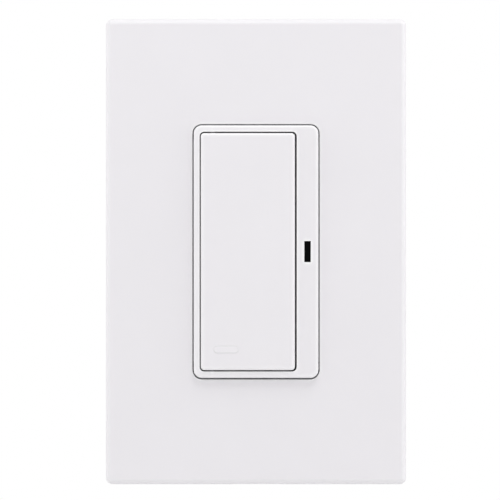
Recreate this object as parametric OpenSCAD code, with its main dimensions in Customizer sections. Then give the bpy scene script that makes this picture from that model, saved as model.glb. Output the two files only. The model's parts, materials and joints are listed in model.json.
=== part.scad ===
// Push-pad wall switch with a screwless clip-on wall plate, in millimetres.
// The wall is the XZ plane at y = 0, the front faces -y, and +z is up the wall.
// The origin is the middle of the wall face, which is also the middle of the two box screws.
// Modules are drawn lying face up: x to the right, y up the wall, z out of the wall.
// upright() then stands them on the wall.

/* [Wall plate] */
// Width of the clip-on cover at the wall
cover_w = 78.6; // [77:0.2:82]
// Height of the clip-on cover at the wall
cover_h = 121.8; // [119:0.2:125]
// How far the cover's front stands off the wall
cover_depth = 6.5; // [6.3:0.1:7.5]
// Thickness of the cover's front and sides
cover_wall = 1.8; // [1.4:0.1:1.9]
// Radius of the cover's outline corners
cover_corner_r = 1.7; // [1.6:0.1:3]
// Radius of the cover's front edges
cover_edge_r = 1.2; // [0.6:0.1:1.3]
// How far the cover's sides lean in towards the front
cover_draft = 0.3; // [0.1:0.1:0.3]
// Thickness of the inner plate that the cover clips onto
subplate_t = 1.6; // [1.4:0.1:1.8]
// Clearance between that plate's rim and the cover's sides
subplate_clear = 0.5; // [0.4:0.1:0.6]
// How far the cover's catches reach in from its sides
catch_reach = 0.9; // [0.8:0.1:1.1]
// Length of each of the cover's catches
catch_l = 7; // [5:0.5:9]
// Distance of the outermost catches from the corners of the cover's hollow
catch_inset = 17; // [15:0.5:19]

/* [Opening and bezel] */
// Width of the opening in the wall plate
opening_w = 33.1; // [33:0.1:33.8]
// Height of the opening in the wall plate
opening_h = 66.6; // [66.4:0.1:67.2]
// Clearance beside the bezel in the opening
bezel_clear_x = 0.25; // [0.2:0.05:0.35]
// Clearance above and below the bezel in the opening
bezel_clear_y = 0.3; // [0.2:0.05:0.4]
// Radius of the bezel's outline corners
bezel_corner_r = 2.1; // [1.5:0.1:2.3]
// Radius of the bezel's front edges
bezel_edge_r = 0.6; // [0.3:0.1:0.7]
// How far the bezel stands out of the cover's front
bezel_proud = 2.0; // [1.6:0.1:2.4]
// Thickness of the bezel's floor
bezel_floor_t = 1.6; // [1.4:0.1:1.8]
// Width of the bezel's left rail
rail_left = 1.6; // [1.5:0.05:1.9]
// Width of the bezel's right rail, which holds the indicator
rail_right = 5.7; // [5.4:0.1:6.2]
// Width of the bezel's top rail
rail_top = 1.7; // [1.65:0.05:1.95]
// Width of the bezel's bottom rail
rail_bottom = 1.7; // [1.65:0.05:1.95]
// Wall left around the hollow in the right rail
rail_wall = 1.2; // [1:0.1:1.3]

/* [Paddle] */
// Clearance on the paddle's left
paddle_clear_left = 0.25; // [0.2:0.05:0.35]
// Clearance on the paddle's right
paddle_clear_right = 0.45; // [0.35:0.05:0.6]
// Clearance above and below the paddle
paddle_clear_y = 0.32; // [0.25:0.01:0.4]
// Radius of the paddle's outline corners
paddle_corner_r = 0.9; // [0.9:0.1:1.2]
// Radius of the paddle's front edges
paddle_edge_r = 0.7; // [0.5:0.1:0.9]
// How far the paddle stands out of the bezel's front
paddle_proud = 1.0; // [0.5:0.1:1.1]
// Depth of the paddle from its front to its skirt's rim
paddle_depth = 4.5; // [4.3:0.1:4.6]
// Thickness of the paddle's front
paddle_wall = 1.5; // [1.3:0.1:1.7]
// Thickness of the paddle's skirt
skirt_t = 1.1; // [1:0.1:1.2]
// Distance of the hinge line from the paddle's left edge
hinge_inset = 3.0; // [2.8:0.1:3.3]
// Depth of the hinge line below the bezel's front
hinge_depth = 1.6; // [1.5:0.1:1.8]
// Radius of the hinge pins at the paddle's ends
pin_r = 0.6; // [0.5:0.05:0.65]
// Radial clearance of the hinge pins in the bezel
pin_clear = 0.05; // [0.03:0.01:0.08]
// How far each hinge pin reaches out of the paddle
pin_reach = 1.4; // [1.2:0.1:1.5]
// Distance of the push post from the hinge line
post_lever = 8.0; // [7.6:0.1:8.4]
// Radius of the push post
post_r = 1.2; // [1:0.1:1.4]
// Length of the raised locating mark near the paddle's lower left corner
mark_l = 6.4; // [5:0.2:8]
// Width of the raised locating mark
mark_w = 1.8; // [1.2:0.1:2.4]
// Height of the raised locating mark
mark_h = 0.1; // [0.1:0.05:0.3]

/* [Indicator] */
// Width of the indicator window
lens_w = 1.57; // [1.4:0.01:1.8]
// Height of the indicator window
lens_h = 5.4; // [4.8:0.1:6]
// Clearance of the indicator window in its slot
lens_clear = 0.05; // [0.03:0.01:0.08]
// How far the window lies below the bezel's front
lens_recess = 0.1; // [0:0.05:0.2]

/* [Strap and its screws] */
// Thickness of the steel strap
strap_t = 1.2; // [1:0.1:1.4]
// Width of the strap behind the bezel
strap_w = 42; // [41.4:0.1:42]
// Height of the strap's wide middle
strap_mid_h = 68; // [67.8:0.1:68.4]
// Full height of the strap over its ears
strap_h = 106.4; // [105:0.2:108]
// Full width of the ears
ear_w = 44; // [40:1:48]
// Height of each ear
ear_h = 13; // [12:0.2:13.4]
// Width of the necks that join the ears to the middle
neck_w = 24; // [20:1:24]
// Spacing of the two screws that hold the strap to the wall box
box_screw_spacing = 83.34; // [83.2:0.02:83.5]
// Spacing of the two screws that hold the inner plate to the strap
plate_screw_spacing = 96.8; // [96.6:0.1:97]
// Major radius of the box and plate screws
screw_r = 1.75; // [1.7:0.01:1.8]
// Radius of the box screws' necks, which the retaining washers grip
neck_r = 1.6; // [1.5:0.02:1.64]
// Length of a box screw below its head
box_screw_l = 25.4; // [22:0.2:30]
// Radius of a box screw's head
box_head_r = 3.5; // [3.3:0.1:3.5]
// Height of a box screw's head
box_head_h = 1.8; // [1.6:0.1:2]
// Length of a plate screw below its head
plate_screw_l = 8; // [6:0.5:9]
// Radius of a plate screw's head
plate_head_r = 2.9; // [2.7:0.1:2.9]
// Height of a plate screw's head
plate_head_h = 1.5; // [1.3:0.1:1.6]
// Radial clearance of a screw in its hole
screw_clear = 0.05; // [0.04:0.01:0.08]
// Side of the square retaining washers
retainer_w = 7.5; // [7:0.1:7.8]
// Thickness of the retaining washers
retainer_t = 0.8; // [0.6:0.1:1]

/* [Housing] */
// Width of the rear housing
housing_w = 42; // [41.8:0.1:42.4]
// Height of the rear housing
housing_h = 67.6; // [67.4:0.1:68]
// Depth of the rear housing behind the wall
housing_depth = 32; // [31:0.5:35]
// Thickness of the rear housing's walls
housing_wall = 1.8; // [1.6:0.1:2]
// Radius of the rear housing's corners
housing_corner_r = 3; // [2.5:0.1:3.4]
// Radius of the rear housing's back edges
housing_edge_r = 1.0; // [0.6:0.1:1.1]
// Distance of the corner screws from the housing's sides
corner_inset_x = 4.0; // [3.9:0.1:4.2]
// Distance of the corner screws from the housing's ends
corner_inset_y = 3.8; // [3.7:0.1:4.1]
// Radius of the corner screws
corner_screw_r = 1.4; // [1.3:0.05:1.5]
// Radius of the tubes that hold the corner screws
corner_tube_r = 3.6; // [3.5:0.1:3.7]

/* [Terminals] */
// Width of each terminal recess, along the housing's side
recess_w = 15; // [14:0.5:16]
// How far each terminal recess goes into the housing's side
recess_depth = 7.5; // [7.3:0.1:7.8]
// Depth behind the wall at which a terminal recess starts
recess_front = 7; // [6.8:0.1:7.2]
// Depth behind the wall at which a terminal recess ends
recess_back = 26; // [25:0.5:27]
// Thickness of a terminal plate
terminal_t = 1.0; // [0.8:0.1:1.2]
// Space for a wire between a terminal plate and its clamp
wire_space = 2.3; // [2.1:0.1:2.4]
// Thickness of a wire clamp
clamp_t = 1.4; // [1.2:0.1:1.6]
// Radius of the holes that the wires go into
wire_hole_r = 1.5; // [1.4:0.05:1.6]
// Distance of each wire hole from the terminal screw
wire_offset = 3.8; // [3.7:0.1:4]
// Radius of the terminal screws
terminal_screw_r = 2.0; // [1.9:0.05:2.1]
// Radius of the terminal screws' heads
terminal_head_r = 3.9; // [3.6:0.1:4]
// Height of the terminal screws' heads
terminal_head_h = 2.2; // [2:0.1:2.4]

/* [Electronics] */
// Thickness of the circuit board
board_t = 1.6; // [1.5:0.1:1.7]
// Depth of the circuit board's front face behind the wall
board_depth = 3.0; // [3:0.1:3.1]
// Clearance between the circuit board's edge and the housing
board_clear = 0.5; // [0.4:0.1:0.6]
// Side of the tactile switch's square body
tact_w = 6; // [5.8:0.1:6.2]
// Radius of the tactile switch's button
tact_button_r = 1.7; // [1.6:0.05:1.75]
// Width of the transformer
transformer_w = 14; // [13:0.5:15]
// Diameter of the storage capacitor
storage_cap_d = 10; // [9:0.5:10]
// Length of the storage capacitor
storage_cap_l = 16; // [14:0.5:18]

/* [Hidden] */
$fn = 64;
// How far a cutting tool runs past the face it cuts
cut = 1;
// Straight left at the end of a slot, so that its round ends stay four arcs
hair = 0.01;

// Heights of the stack, from the wall outwards
strap_back = 0.1;
strap_z = strap_back + strap_t;
cover_in_z = cover_depth - cover_wall;
subplate_z = strap_z + subplate_t;
bezel_floor_z = strap_z + bezel_floor_t;
bezel_z = cover_depth + bezel_proud;
paddle_z = bezel_z + paddle_proud;
paddle_rim_z = paddle_z - paddle_depth;
paddle_in_z = paddle_z - paddle_wall;
hinge_z = bezel_z - hinge_depth;

// Bezel and paddle outlines
bezel_w = opening_w - 2 * bezel_clear_x;
bezel_h = opening_h - 2 * bezel_clear_y;
pocket_left = -bezel_w / 2 + rail_left;
pocket_right = bezel_w / 2 - rail_right;
pocket_top = bezel_h / 2 - rail_top;
pocket_bottom = -bezel_h / 2 + rail_bottom;
pocket_corner_r = paddle_corner_r + paddle_clear_left;
paddle_left = pocket_left + paddle_clear_left;
paddle_right = pocket_right - paddle_clear_right;
paddle_top = pocket_top - paddle_clear_y;
paddle_bottom = pocket_bottom + paddle_clear_y;
paddle_w = paddle_right - paddle_left;
paddle_h = paddle_top - paddle_bottom;
paddle_x = (paddle_left + paddle_right) / 2;
paddle_y = (paddle_top + paddle_bottom) / 2;
hinge_x = paddle_left + hinge_inset;
post_x = hinge_x + post_lever;
rail_x = bezel_w / 2 - rail_right / 2;

// Inner plate, and the cover's catches, stops and skirt
cavity_w = cover_w - 2 * cover_wall;
cavity_h = cover_h - 2 * cover_wall;
subplate_w = cavity_w - 2 * subplate_clear;
subplate_h = cavity_h - 2 * subplate_clear;
subplate_opening_w = opening_w + 1.1;
subplate_opening_h = opening_h + 0.8;
subplate_opening_r = 2.6;
subplate_corner_r = 1.5;
subplate_window_border = 5.4;
subplate_window_h = 26;
subplate_window_gap = 10;
relief_w = 12;
relief_h = 4;
relief_inset_x = 11;
relief_inset_y = 11.6;
head_clear = 0.5;
cavity_corner_r = 0.6;
catch_t = 0.9;
catch_x = cavity_w / 2 - catch_inset;
catch_y = cavity_h / 2 - catch_inset;
stop_t = 1.2;
stop_l = 4;
stop_out = 0.5;
stop_inset = 8;
stop_y = cavity_h / 2 - stop_inset;
skirt_wall = 1.2;
skirt_drop = 1.5;
prise_w = 12;
prise_h = 1;

// Paddle's hooks, bumpers and ribs
hook_inset_x = 1.9;
hook_inset_y = 9;
hook_x = paddle_right - hook_inset_x;
hook_y = paddle_h / 2 - hook_inset_y;
hook_t = 1.2;
hook_w = 4;
hook_barb = 0.7;
hook_barb_h = 1.2;
hook_clear = 0.1;
hook_slot_clear = 0.4;
bumper_size = [3, 6, 1.5];
bumper_inset_x = 4.15;
bumper_inset_y = 18;
bumper_x = paddle_right - bumper_inset_x;
bumper_y = paddle_h / 2 - bumper_inset_y;
rib_t = 1;
mark_inset_x = 6.6;
mark_inset_y = 5.4;
mark_sink = 0.2;

// Bezel's latches and the legs that hold the circuit board down
corner_x = housing_w / 2 - corner_inset_x;
corner_y = housing_h / 2 - corner_inset_y;
latch_w = 5;
latch_t = 1.2;
latch_gap = 1.9;
latch_inset = 2.7;
latch_x = corner_x - corner_tube_r - latch_gap - latch_w / 2;
latch_y = bezel_h / 2 - latch_inset;
latch_barb = 0.6;
latch_barb_h = 1.3;
latch_clear = 0.05;
latch_slot_clear = 0.35;
leg_x = 10;
leg_y = 16;
leg_r = 1.5;
pin_end_gap = 0.12;
pin_bore_l = pin_reach - paddle_clear_y + pin_end_gap;

// Strap
strap_corner_r = 2;
window_w = 30;
window_h = 52;
window_corner_r = 1.5;
ear_y = strap_h / 2 - ear_h / 2;
ear_end_flat = 0.2;
ear_hole_r = 1.9;
ear_hole_x = 15.5;
score_x = 10;
score_w = 0.5;
score_d = 0.4;
neck_past = 0.4;
slot_half_w = 2.1;
slot_half_l = 3.1;
ground_tab_w = 8.5;
ground_x = ground_tab_w / 2 - strap_w / 2;
ground_tab_out = 1.7;
ground_tab_root = 2;
ground_tab_l = 11;
ground_screw_z = -6;
ground_screw_gap = 1.8;
ground_screw_l = 4.3;

// Circuit board and what stands on it
board_z = -board_depth;
board_back_z = board_z - board_t;
board_w = housing_w - 2 * housing_wall - 2 * board_clear;
board_h = housing_h - 2 * housing_wall - 2 * board_clear;
notch_clear = 0.3;
tact_h = 3.5;
tact_button_z = 1.0;
tact_button_h = 1.4;
tact_slide_clear = 0.05;
tact_travel_room = 0.5;
post_clear = 0.05;
post_hole_r = 1.8;
lens_shoulder = 0.42;
lens_front_h = 3.4;
lens_foot_gap = 0.3;
lens_stem_gap = 0.3;
lens_land = 1.75;
rail_front_wall = 1.4;
led_size = [0.8, 1.6, 0.8];
radio_x = -1.5;
radio_y = 17;
radio_board_size = [12, 18, 0.8];
radio_shield_size = [10.6, 12, 1.8];
radio_shield_drop = 2.4;
shield_wall = 0.3;
controller_place = [5, -7.5];
controller_size = [6, 6, 0.9];
supply_place = [-10, -24];
supply_size = [4, 5, 1.6];
safety_cap_size = [13, 6.5, 12];
safety_cap_r = 0.6;
safety_cap_inset_x = 8.7;
safety_cap_inset_y = 9.5;
safety_cap_x = safety_cap_inset_x - board_w / 2;
safety_cap_y = safety_cap_inset_y - board_h / 2;
storage_cap_margin = 2;
storage_cap_inset_y = 11.5;
storage_cap_x = board_w / 2 - storage_cap_margin - storage_cap_d / 2;
storage_cap_y = storage_cap_inset_y - board_h / 2;
varistor_r = 4.5;
varistor_t = 4;
varistor_lead_r = 0.4;
varistor_lead_l = 1.5;
varistor_lead_x = 2.5;
varistor_margin = 0.5;
varistor_y = board_h / 2 - varistor_t / 2 - varistor_margin;
bridge_size = [5, 8, 2.6];
bridge_margin = 1.8;
bridge_x = board_w / 2 - bridge_margin - bridge_size[0] / 2;
bridge_y = 18;
fuse_y = -12.5;
fuse_r = 1.8;
fuse_l = 9;
fuse_lead_r = 0.35;
fuse_lead_l = 1.5;
fuse_gap = 0.3;
fuse_cap_l = 1.6;
fuse_waist = 0.25;
core_d = 5;
coil_d = 2 * core_d + 1;
coil_corner_r = 2.4;
coil_gap = 1.5;
transformer_y = varistor_y - varistor_t / 2 - coil_d / 2 - coil_gap;
core_h = 11;
core_limb = 2.7;
core_window = 3;
core_yoke = 2.2;
coil_clear = 0.1;
ledge_y = 20;
ledge_w = 4;
ledge_reach = 1.6;
ledge_h = 5;

// Terminals, on the housing's right side
side_x = housing_w / 2;
recess_x = side_x - recess_depth;
pocket_wall = 1.6;
plate_x = recess_x + terminal_t;
clamp_x = plate_x + wire_space;
head_x = clamp_x + clamp_t;
wire_x = (plate_x + clamp_x) / 2;
terminal_z = -14.5;
terminal_plate_w = 11;
terminal_plate_h = 13;
terminal_leg_w = 3;
leg_slot_clear = 0.3;
terminal_tip = 4;
tip_clear = 0.6;
tip_bore_clear = 0.3;
boss_r = 3.6;
boss_wall = 0.8;
clamp_w = 10.4;
clamp_h = 9.6;
clamp_hole_clear = 0.2;
groove_r = 0.5;

// Corner screws and their sunk holes at the housing's back
corner_head_r = 2.5;
corner_head_h = 1.6;
corner_slot_w = 0.7;
corner_tip_gap = 0.1;
sink_r = 2.7;
sink_d = 2.4;
housing_inner_r = housing_corner_r - 1;

// Funnels, bare panel and strip gauge in the housing's back, and the ribs round it
funnel_d = 0.8;
panel_w = 20;
panel_h = 32;
panel_r = 1.5;
panel_d = 0.3;
gauge_w = 2;
gauge_l = 12;
gauge_d = 0.5;
gauge_y = panel_h / 2 + 4;
ridge_w = 1;
ridge_t = 1;
ridge_proud = 0.3;
ridge_step = 4;
ridge_start = recess_w / 2 + pocket_wall + 3;
ridge_end = housing_h / 2 - housing_corner_r - 4;
ridge_end_x = 2 * ridge_step;
ridge_margin = 4;

// Stands a piece drawn face up on the wall
module upright() {
    rotate([90, 0, 0]) children();
}

// Flat outline with round corners
module rounded_outline(w, h, r) {
    square([w - 2 * r, h], center = true);
    square([w, h - 2 * r], center = true);
    for (x = [-1, 1], y = [-1, 1])
        translate([x * (w / 2 - r), y * (h / 2 - r)]) circle(r);
}

// Upright block with round corners, from height z0 to height z1
module rounded_block(w, h, r, z0, z1) {
    translate([0, 0, z0]) linear_extrude(z1 - z0) rounded_outline(w, h, r);
}

// Section of a moulded edge, with x measured from the corner's centre line
module edge_section(r, z0, z1, edge_r, draft) {
    reach = r - draft;
    polygon([[0, z0], [r, z0], [reach, z1 - edge_r], [0, z1 - edge_r]]);
    if (reach > edge_r)
        translate([0, z1 - edge_r]) square([reach - edge_r, edge_r]);
    translate([reach - edge_r, z1 - edge_r]) intersection() {
        circle(edge_r);
        square(edge_r);
    }
}

// Block with round corners and round front edges, its sides leaning in by draft
module soft_block(w, h, r, z0, z1, edge_r, draft = 0) {
    translate([r - w / 2, r - h / 2, z0]) cube([w - 2 * r, h - 2 * r, z1 - z0]);
    for (quarter = [0 : 3]) {
        across = quarter % 2 == 0 ? w : h;
        along = quarter % 2 == 0 ? h : w;
        rotate([0, 0, 90 * quarter]) translate([across / 2 - r, along / 2 - r, 0]) {
            rotate([90, 0, 0]) linear_extrude(along - 2 * r)
                edge_section(r, z0, z1, edge_r, draft);
            rotate_extrude(angle = 90) edge_section(r, z0, z1, edge_r, draft);
        }
    }
}

// Box given by its middle in x and y, its size and its heights
module centred_box(x, y, w, h, z0, z1) {
    translate([x - w / 2, y - h / 2, z0]) cube([w, h, z1 - z0]);
}

// Hole or post given by its middle, radius and heights
module round_post(x, y, r, z0, z1) {
    translate([x, y, z0]) cylinder(h = z1 - z0, r = r);
}

// Screw pointing down, with a domed and slotted head on z = 0
module domed_screw(r, l, head_r, head_h, slot_w = 1) {
    rim_h = head_h * 0.4;
    dome_h = head_h - rim_h;
    dome_r = (head_r * head_r + dome_h * dome_h) / (2 * dome_h);
    difference() {
        union() {
            cylinder(h = rim_h, r = head_r);
            intersection() {
                translate([0, 0, head_h - dome_r]) sphere(dome_r);
                cylinder(h = head_h, r = head_r);
            }
        }
        centred_box(0, 0, 2 * head_r + cut, slot_w, head_h * 0.45, head_h + cut);
    }
    rotate_extrude()
        polygon([[0, -l], [r * 2 / 3, -l], [r, -l + r / 3], [r, rim_h / 2], [0, rim_h / 2]]);
}

// Does the same at the top and the bottom
module both_ends() {
    for (s = [0, 1]) mirror([0, s, 0]) children();
}

// Does the same on the left and the right
module both_sides() {
    for (s = [0, 1]) mirror([s, 0, 0]) children();
}

module cover_catches() {
    // Ledges under the inner plate's rim
    both_sides() for (share = [-1, -1 / 3, 1 / 3, 1])
        centred_box(cavity_w / 2 - catch_reach / 2 + cut / 4, share * catch_y,
                    catch_reach + cut / 2, catch_l, strap_z - catch_t, strap_z);
    both_ends() for (share = [-1, 1])
        centred_box(share * catch_x, cavity_h / 2 - catch_reach / 2 + cut / 4,
                    catch_l, catch_reach + cut / 2, strap_z - catch_t, strap_z);
}

module cover_stops() {
    // Ribs that rest on the inner plate
    out = stop_out - stop_l / 2;
    both_sides() for (share = [-1, -1 / 2, 0, 1 / 2, 1])
        centred_box(cavity_w / 2 + out, share * stop_y, stop_l, stop_t, subplate_z, cover_in_z + cut / 2);
    both_ends() for (share = [-1 / 2, 1 / 2])
        centred_box(share * catch_x, cavity_h / 2 + out, stop_t, stop_l, subplate_z, cover_in_z + cut / 2);
}

module cover_skirt() {
    // Inner wall around the opening
    rounded_block(opening_w + 2 * skirt_wall, opening_h + 2 * skirt_wall,
                  bezel_corner_r + skirt_wall, cover_in_z - skirt_drop, cover_in_z + cut / 2);
}

module wallplate_cover() {
    color("white") upright() difference() {
        union() {
            difference() {
                soft_block(cover_w, cover_h, cover_corner_r, 0, cover_depth,
                           cover_edge_r, cover_draft);
                rounded_block(cavity_w, cavity_h, cavity_corner_r, -cut, cover_in_z);
            }
            cover_catches();
            cover_stops();
            cover_skirt();
        }
        rounded_block(opening_w, opening_h, bezel_corner_r + bezel_clear_x, -cut, cover_depth + cut);
        // Notch for prising the cover off
        centred_box(0, -cover_h / 2, prise_w, 4 * cover_wall, -cut, prise_h);
    }
}

module wallplate_subplate() {
    color("whitesmoke") upright() difference() {
        rounded_block(subplate_w, subplate_h, subplate_corner_r, strap_z, subplate_z);
        rounded_block(subplate_opening_w, subplate_opening_h, subplate_opening_r, 0, subplate_z + cut);
        both_ends() {
            round_post(0, box_screw_spacing / 2, box_head_r + head_clear, 0, subplate_z + cut);
            round_post(0, plate_screw_spacing / 2, screw_r + 2 * screw_clear, 0, subplate_z + cut);
            // Relief slots beside the screws
            both_sides() centred_box(subplate_w / 2 - relief_inset_x, subplate_h / 2 - relief_inset_y,
                                     relief_w, relief_h, 0, subplate_z + cut);
            // Windows that save weight beside the opening
            both_sides() centred_box((subplate_opening_w + subplate_w) / 4,
                                     (subplate_window_gap + subplate_window_h) / 2,
                                     (subplate_w - subplate_opening_w) / 2 - 2 * subplate_window_border,
                                     subplate_window_h, 0, subplate_z + cut);
        }
    }
}

module subplate_screw() {
    upright() translate([0, plate_screw_spacing / 2, subplate_z])
        domed_screw(screw_r, plate_screw_l, plate_head_r, plate_head_h);
}

module subplate_screw_upper() {
    color("silver") subplate_screw();
}

module subplate_screw_lower() {
    color("silver") mirror([0, 0, 1]) subplate_screw();
}

module strap_outline() {
    rounded_outline(strap_w, strap_mid_h, strap_corner_r);
    both_ends() {
        translate([-neck_w / 2, 0]) square([neck_w, ear_y]);
        translate([0, ear_y]) rounded_outline(ear_w, ear_h, ear_h / 2 - ear_end_flat / 2);
    }
}

module strap_holes() {
    rounded_outline(window_w, window_h, window_corner_r);
    both_ends() {
        translate([0, box_screw_spacing / 2])
            rounded_outline(2 * slot_half_l, 2 * slot_half_w, slot_half_w - hair);
        translate([0, plate_screw_spacing / 2]) circle(screw_r + screw_clear);
        both_sides() {
            translate([ear_hole_x, ear_y]) circle(ear_hole_r);
            translate([corner_x, corner_y]) circle(corner_screw_r + screw_clear);
            translate([latch_x, latch_y])
                square([latch_w + 2 * latch_slot_clear, latch_t + 2 * latch_slot_clear], center = true);
        }
    }
}

module ground_tab() {
    // Bent back at the strap's lower left, with a tapped hole
    edge_y = -strap_mid_h / 2 - ground_tab_out;
    difference() {
        union() {
            centred_box(ground_x, (edge_y - strap_mid_h / 2 + ground_tab_root) / 2,
                        ground_tab_w, ground_tab_out + ground_tab_root, strap_back, strap_z);
            translate([ground_x - ground_tab_w / 2, edge_y, strap_back]) rotate([0, 90, 0]) intersection() {
                cylinder(h = ground_tab_w, r = strap_t);
                translate([-strap_t, -strap_t, 0]) cube([strap_t, strap_t, ground_tab_w]);
            }
            centred_box(ground_x, edge_y - strap_t / 2, ground_tab_w, strap_t, -ground_tab_l, strap_back);
        }
        translate([ground_x, edge_y + cut, ground_screw_z]) rotate([90, 0, 0])
            cylinder(h = strap_t + 2 * cut, r = terminal_screw_r + screw_clear);
    }
}

module mounting_strap() {
    color("lightsteelblue") upright() {
        difference() {
            translate([0, 0, strap_back]) linear_extrude(strap_t) difference() {
                strap_outline();
                strap_holes();
            }
            // Scores where the ears' ends break off
            both_ends() both_sides()
                centred_box(score_x, ear_y, score_w, ear_h + cut, strap_z - score_d, strap_z + cut);
        }
        ground_tab();
    }
}

module box_screw() {
    relief = retainer_t + neck_past;
    upright() translate([0, box_screw_spacing / 2, strap_z]) {
        difference() {
            domed_screw(screw_r, box_screw_l, box_head_r, box_head_h);
            // Neck through the strap and the retaining washer
            translate([0, 0, -strap_t - relief]) difference() {
                cylinder(h = strap_t + relief, r = screw_r + cut);
                translate([0, 0, -cut]) cylinder(h = strap_t + relief + 2 * cut, r = neck_r);
            }
        }
    }
}

module box_screw_upper() {
    color("silver") box_screw();
}

module box_screw_lower() {
    color("silver") mirror([0, 0, 1]) box_screw();
}

module screw_retainer() {
    upright() difference() {
        centred_box(0, box_screw_spacing / 2, retainer_w, retainer_w, strap_back - retainer_t, strap_back);
        round_post(0, box_screw_spacing / 2, neck_r + screw_clear, -retainer_t - cut, cut);
    }
}

module screw_retainer_upper() {
    color("saddlebrown") screw_retainer();
}

module screw_retainer_lower() {
    color("saddlebrown") mirror([0, 0, 1]) screw_retainer();
}

module ground_screw() {
    head_y = -strap_mid_h / 2 - ground_tab_out - strap_t - ground_screw_gap;
    color("green") upright() translate([ground_x, head_y, ground_screw_z]) rotate([90, 0, 0])
        domed_screw(terminal_screw_r, ground_screw_l, terminal_head_r, terminal_head_h);
}

module bezel_latches() {
    barb_z = strap_back - latch_clear - latch_barb_h;
    both_ends() both_sides() {
        centred_box(latch_x, latch_y, latch_w, latch_t, barb_z, strap_z + cut / 2);
        centred_box(latch_x, latch_y + latch_barb / 2, latch_w, latch_t + latch_barb,
                    barb_z, strap_back - latch_clear);
    }
}

module bezel_legs() {
    // Legs that hold the circuit board down
    both_ends() both_sides() round_post(leg_x, leg_y, leg_r, board_z, strap_z + cut / 2);
}

module hook_slots() {
    both_ends() centred_box(hook_x, hook_y, hook_t + 2 * hook_slot_clear,
                            hook_w + 2 * hook_slot_clear, 0, bezel_floor_z + cut);
}

module lens_slot() {
    slot_w = lens_w + 2 * lens_clear;
    slot_h = lens_h + 2 * lens_clear;
    shoulder_z = bezel_z - lens_recess - lens_front_h;
    centred_box(rail_x, 0, slot_w, slot_h, 0, bezel_z + cut);
    centred_box(rail_x, 0, slot_w + 2 * lens_shoulder, slot_h + 2 * lens_shoulder, 0, shoulder_z);
}

module rail_hollows() {
    // The right rail is hollow from behind, on both sides of the indicator
    low_y = lens_h / 2 + lens_clear + lens_land;
    high_y = bezel_h / 2 - rail_top - rail_wall;
    both_ends() translate([pocket_right + rail_wall, low_y, 0])
        cube([rail_right - 2 * rail_wall, high_y - low_y, bezel_z - rail_front_wall]);
}

module bezel_frame() {
    color("white") upright() {
        difference() {
            soft_block(bezel_w, bezel_h, bezel_corner_r, strap_z, bezel_z, bezel_edge_r);
            translate([(pocket_left + pocket_right) / 2, (pocket_bottom + pocket_top) / 2, 0])
                rounded_block(pocket_right - pocket_left, pocket_top - pocket_bottom, pocket_corner_r,
                              bezel_floor_z, bezel_z + cut);
            rail_hollows();
            lens_slot();
            hook_slots();
            round_post(post_x, 0, post_hole_r, 0, bezel_floor_z + cut);
            // Bores for the paddle's hinge pins
            translate([hinge_x, pocket_bottom - pin_bore_l, hinge_z]) rotate([-90, 0, 0])
                cylinder(h = pocket_top - pocket_bottom + 2 * pin_bore_l, r = pin_r + pin_clear);
        }
        bezel_latches();
        bezel_legs();
    }
}

module paddle_body() {
    in_w = paddle_w - 2 * skirt_t;
    in_h = paddle_h - 2 * skirt_t;
    translate([paddle_x, paddle_y, 0]) difference() {
        soft_block(paddle_w, paddle_h, paddle_corner_r, paddle_rim_z, paddle_z, paddle_edge_r);
        centred_box(0, 0, in_w, in_h, paddle_rim_z - cut, paddle_in_z);
    }
    // Cross ribs, the outer two standing over the bumpers
    for (y = [-bumper_y, 0, bumper_y])
        centred_box(paddle_x, y, in_w + cut / 2, rib_t, paddle_rim_z, paddle_in_z + cut / 4);
}

module paddle_pins() {
    translate([hinge_x, paddle_bottom - pin_reach, hinge_z]) rotate([-90, 0, 0]) {
        cylinder(h = pin_reach + cut / 2, r = pin_r);
        translate([0, 0, paddle_h + pin_reach - cut / 2]) cylinder(h = pin_reach + cut / 2, r = pin_r);
    }
}

module paddle_hooks() {
    barb_z = strap_z - hook_clear - hook_barb_h;
    both_ends() {
        centred_box(hook_x, hook_y, hook_t, hook_w, barb_z, paddle_in_z + cut / 4);
        centred_box(hook_x + hook_barb / 2, hook_y, hook_t + hook_barb, hook_w,
                    barb_z, strap_z - hook_clear);
    }
}

module paddle_mark() {
    // Raised bar to find the pad's lower end by touch
    translate([paddle_left + mark_inset_x, paddle_bottom + mark_inset_y, paddle_z - mark_sink])
        linear_extrude(mark_sink + mark_h) rounded_outline(mark_l, mark_w, mark_w / 2 - hair);
}

module paddle() {
    color("white") upright() {
        paddle_body();
        paddle_pins();
        paddle_hooks();
        paddle_mark();
        round_post(post_x, 0, post_r, tact_button_z + post_clear, paddle_in_z + cut / 4);
    }
}

module paddle_bumper() {
    upright() centred_box(bumper_x, bumper_y, bumper_size[0], bumper_size[1],
                          bezel_floor_z, bezel_floor_z + bumper_size[2]);
}

module paddle_bumper_upper() {
    color("dimgray") paddle_bumper();
}

module paddle_bumper_lower() {
    color("dimgray") mirror([0, 0, 1]) paddle_bumper();
}

module indicator_lens() {
    front_z = bezel_z - lens_recess;
    shoulder_z = front_z - lens_front_h;
    stem_z = board_z + led_size[2] + lens_stem_gap;
    color("black") upright() {
        centred_box(rail_x, 0, lens_w, lens_h, stem_z, front_z);
        centred_box(rail_x, 0, lens_w + 2 * lens_shoulder, lens_h + 2 * lens_shoulder,
                    strap_z + lens_foot_gap, shoulder_z);
    }
}

module terminal_pocket() {
    // Solid block that the recess, its wire holes and its screw boss are cut from
    translate([recess_x - pocket_wall, -recess_w / 2 - pocket_wall, -housing_depth + housing_wall / 2])
        cube([side_x - recess_x + pocket_wall - housing_wall / 2, recess_w + 2 * pocket_wall,
              housing_depth - housing_wall / 2 - recess_front + pocket_wall]);
    translate([recess_x - terminal_tip - boss_wall, 0, terminal_z]) rotate([0, 90, 0])
        cylinder(h = terminal_tip + boss_wall, r = boss_r);
}

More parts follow.
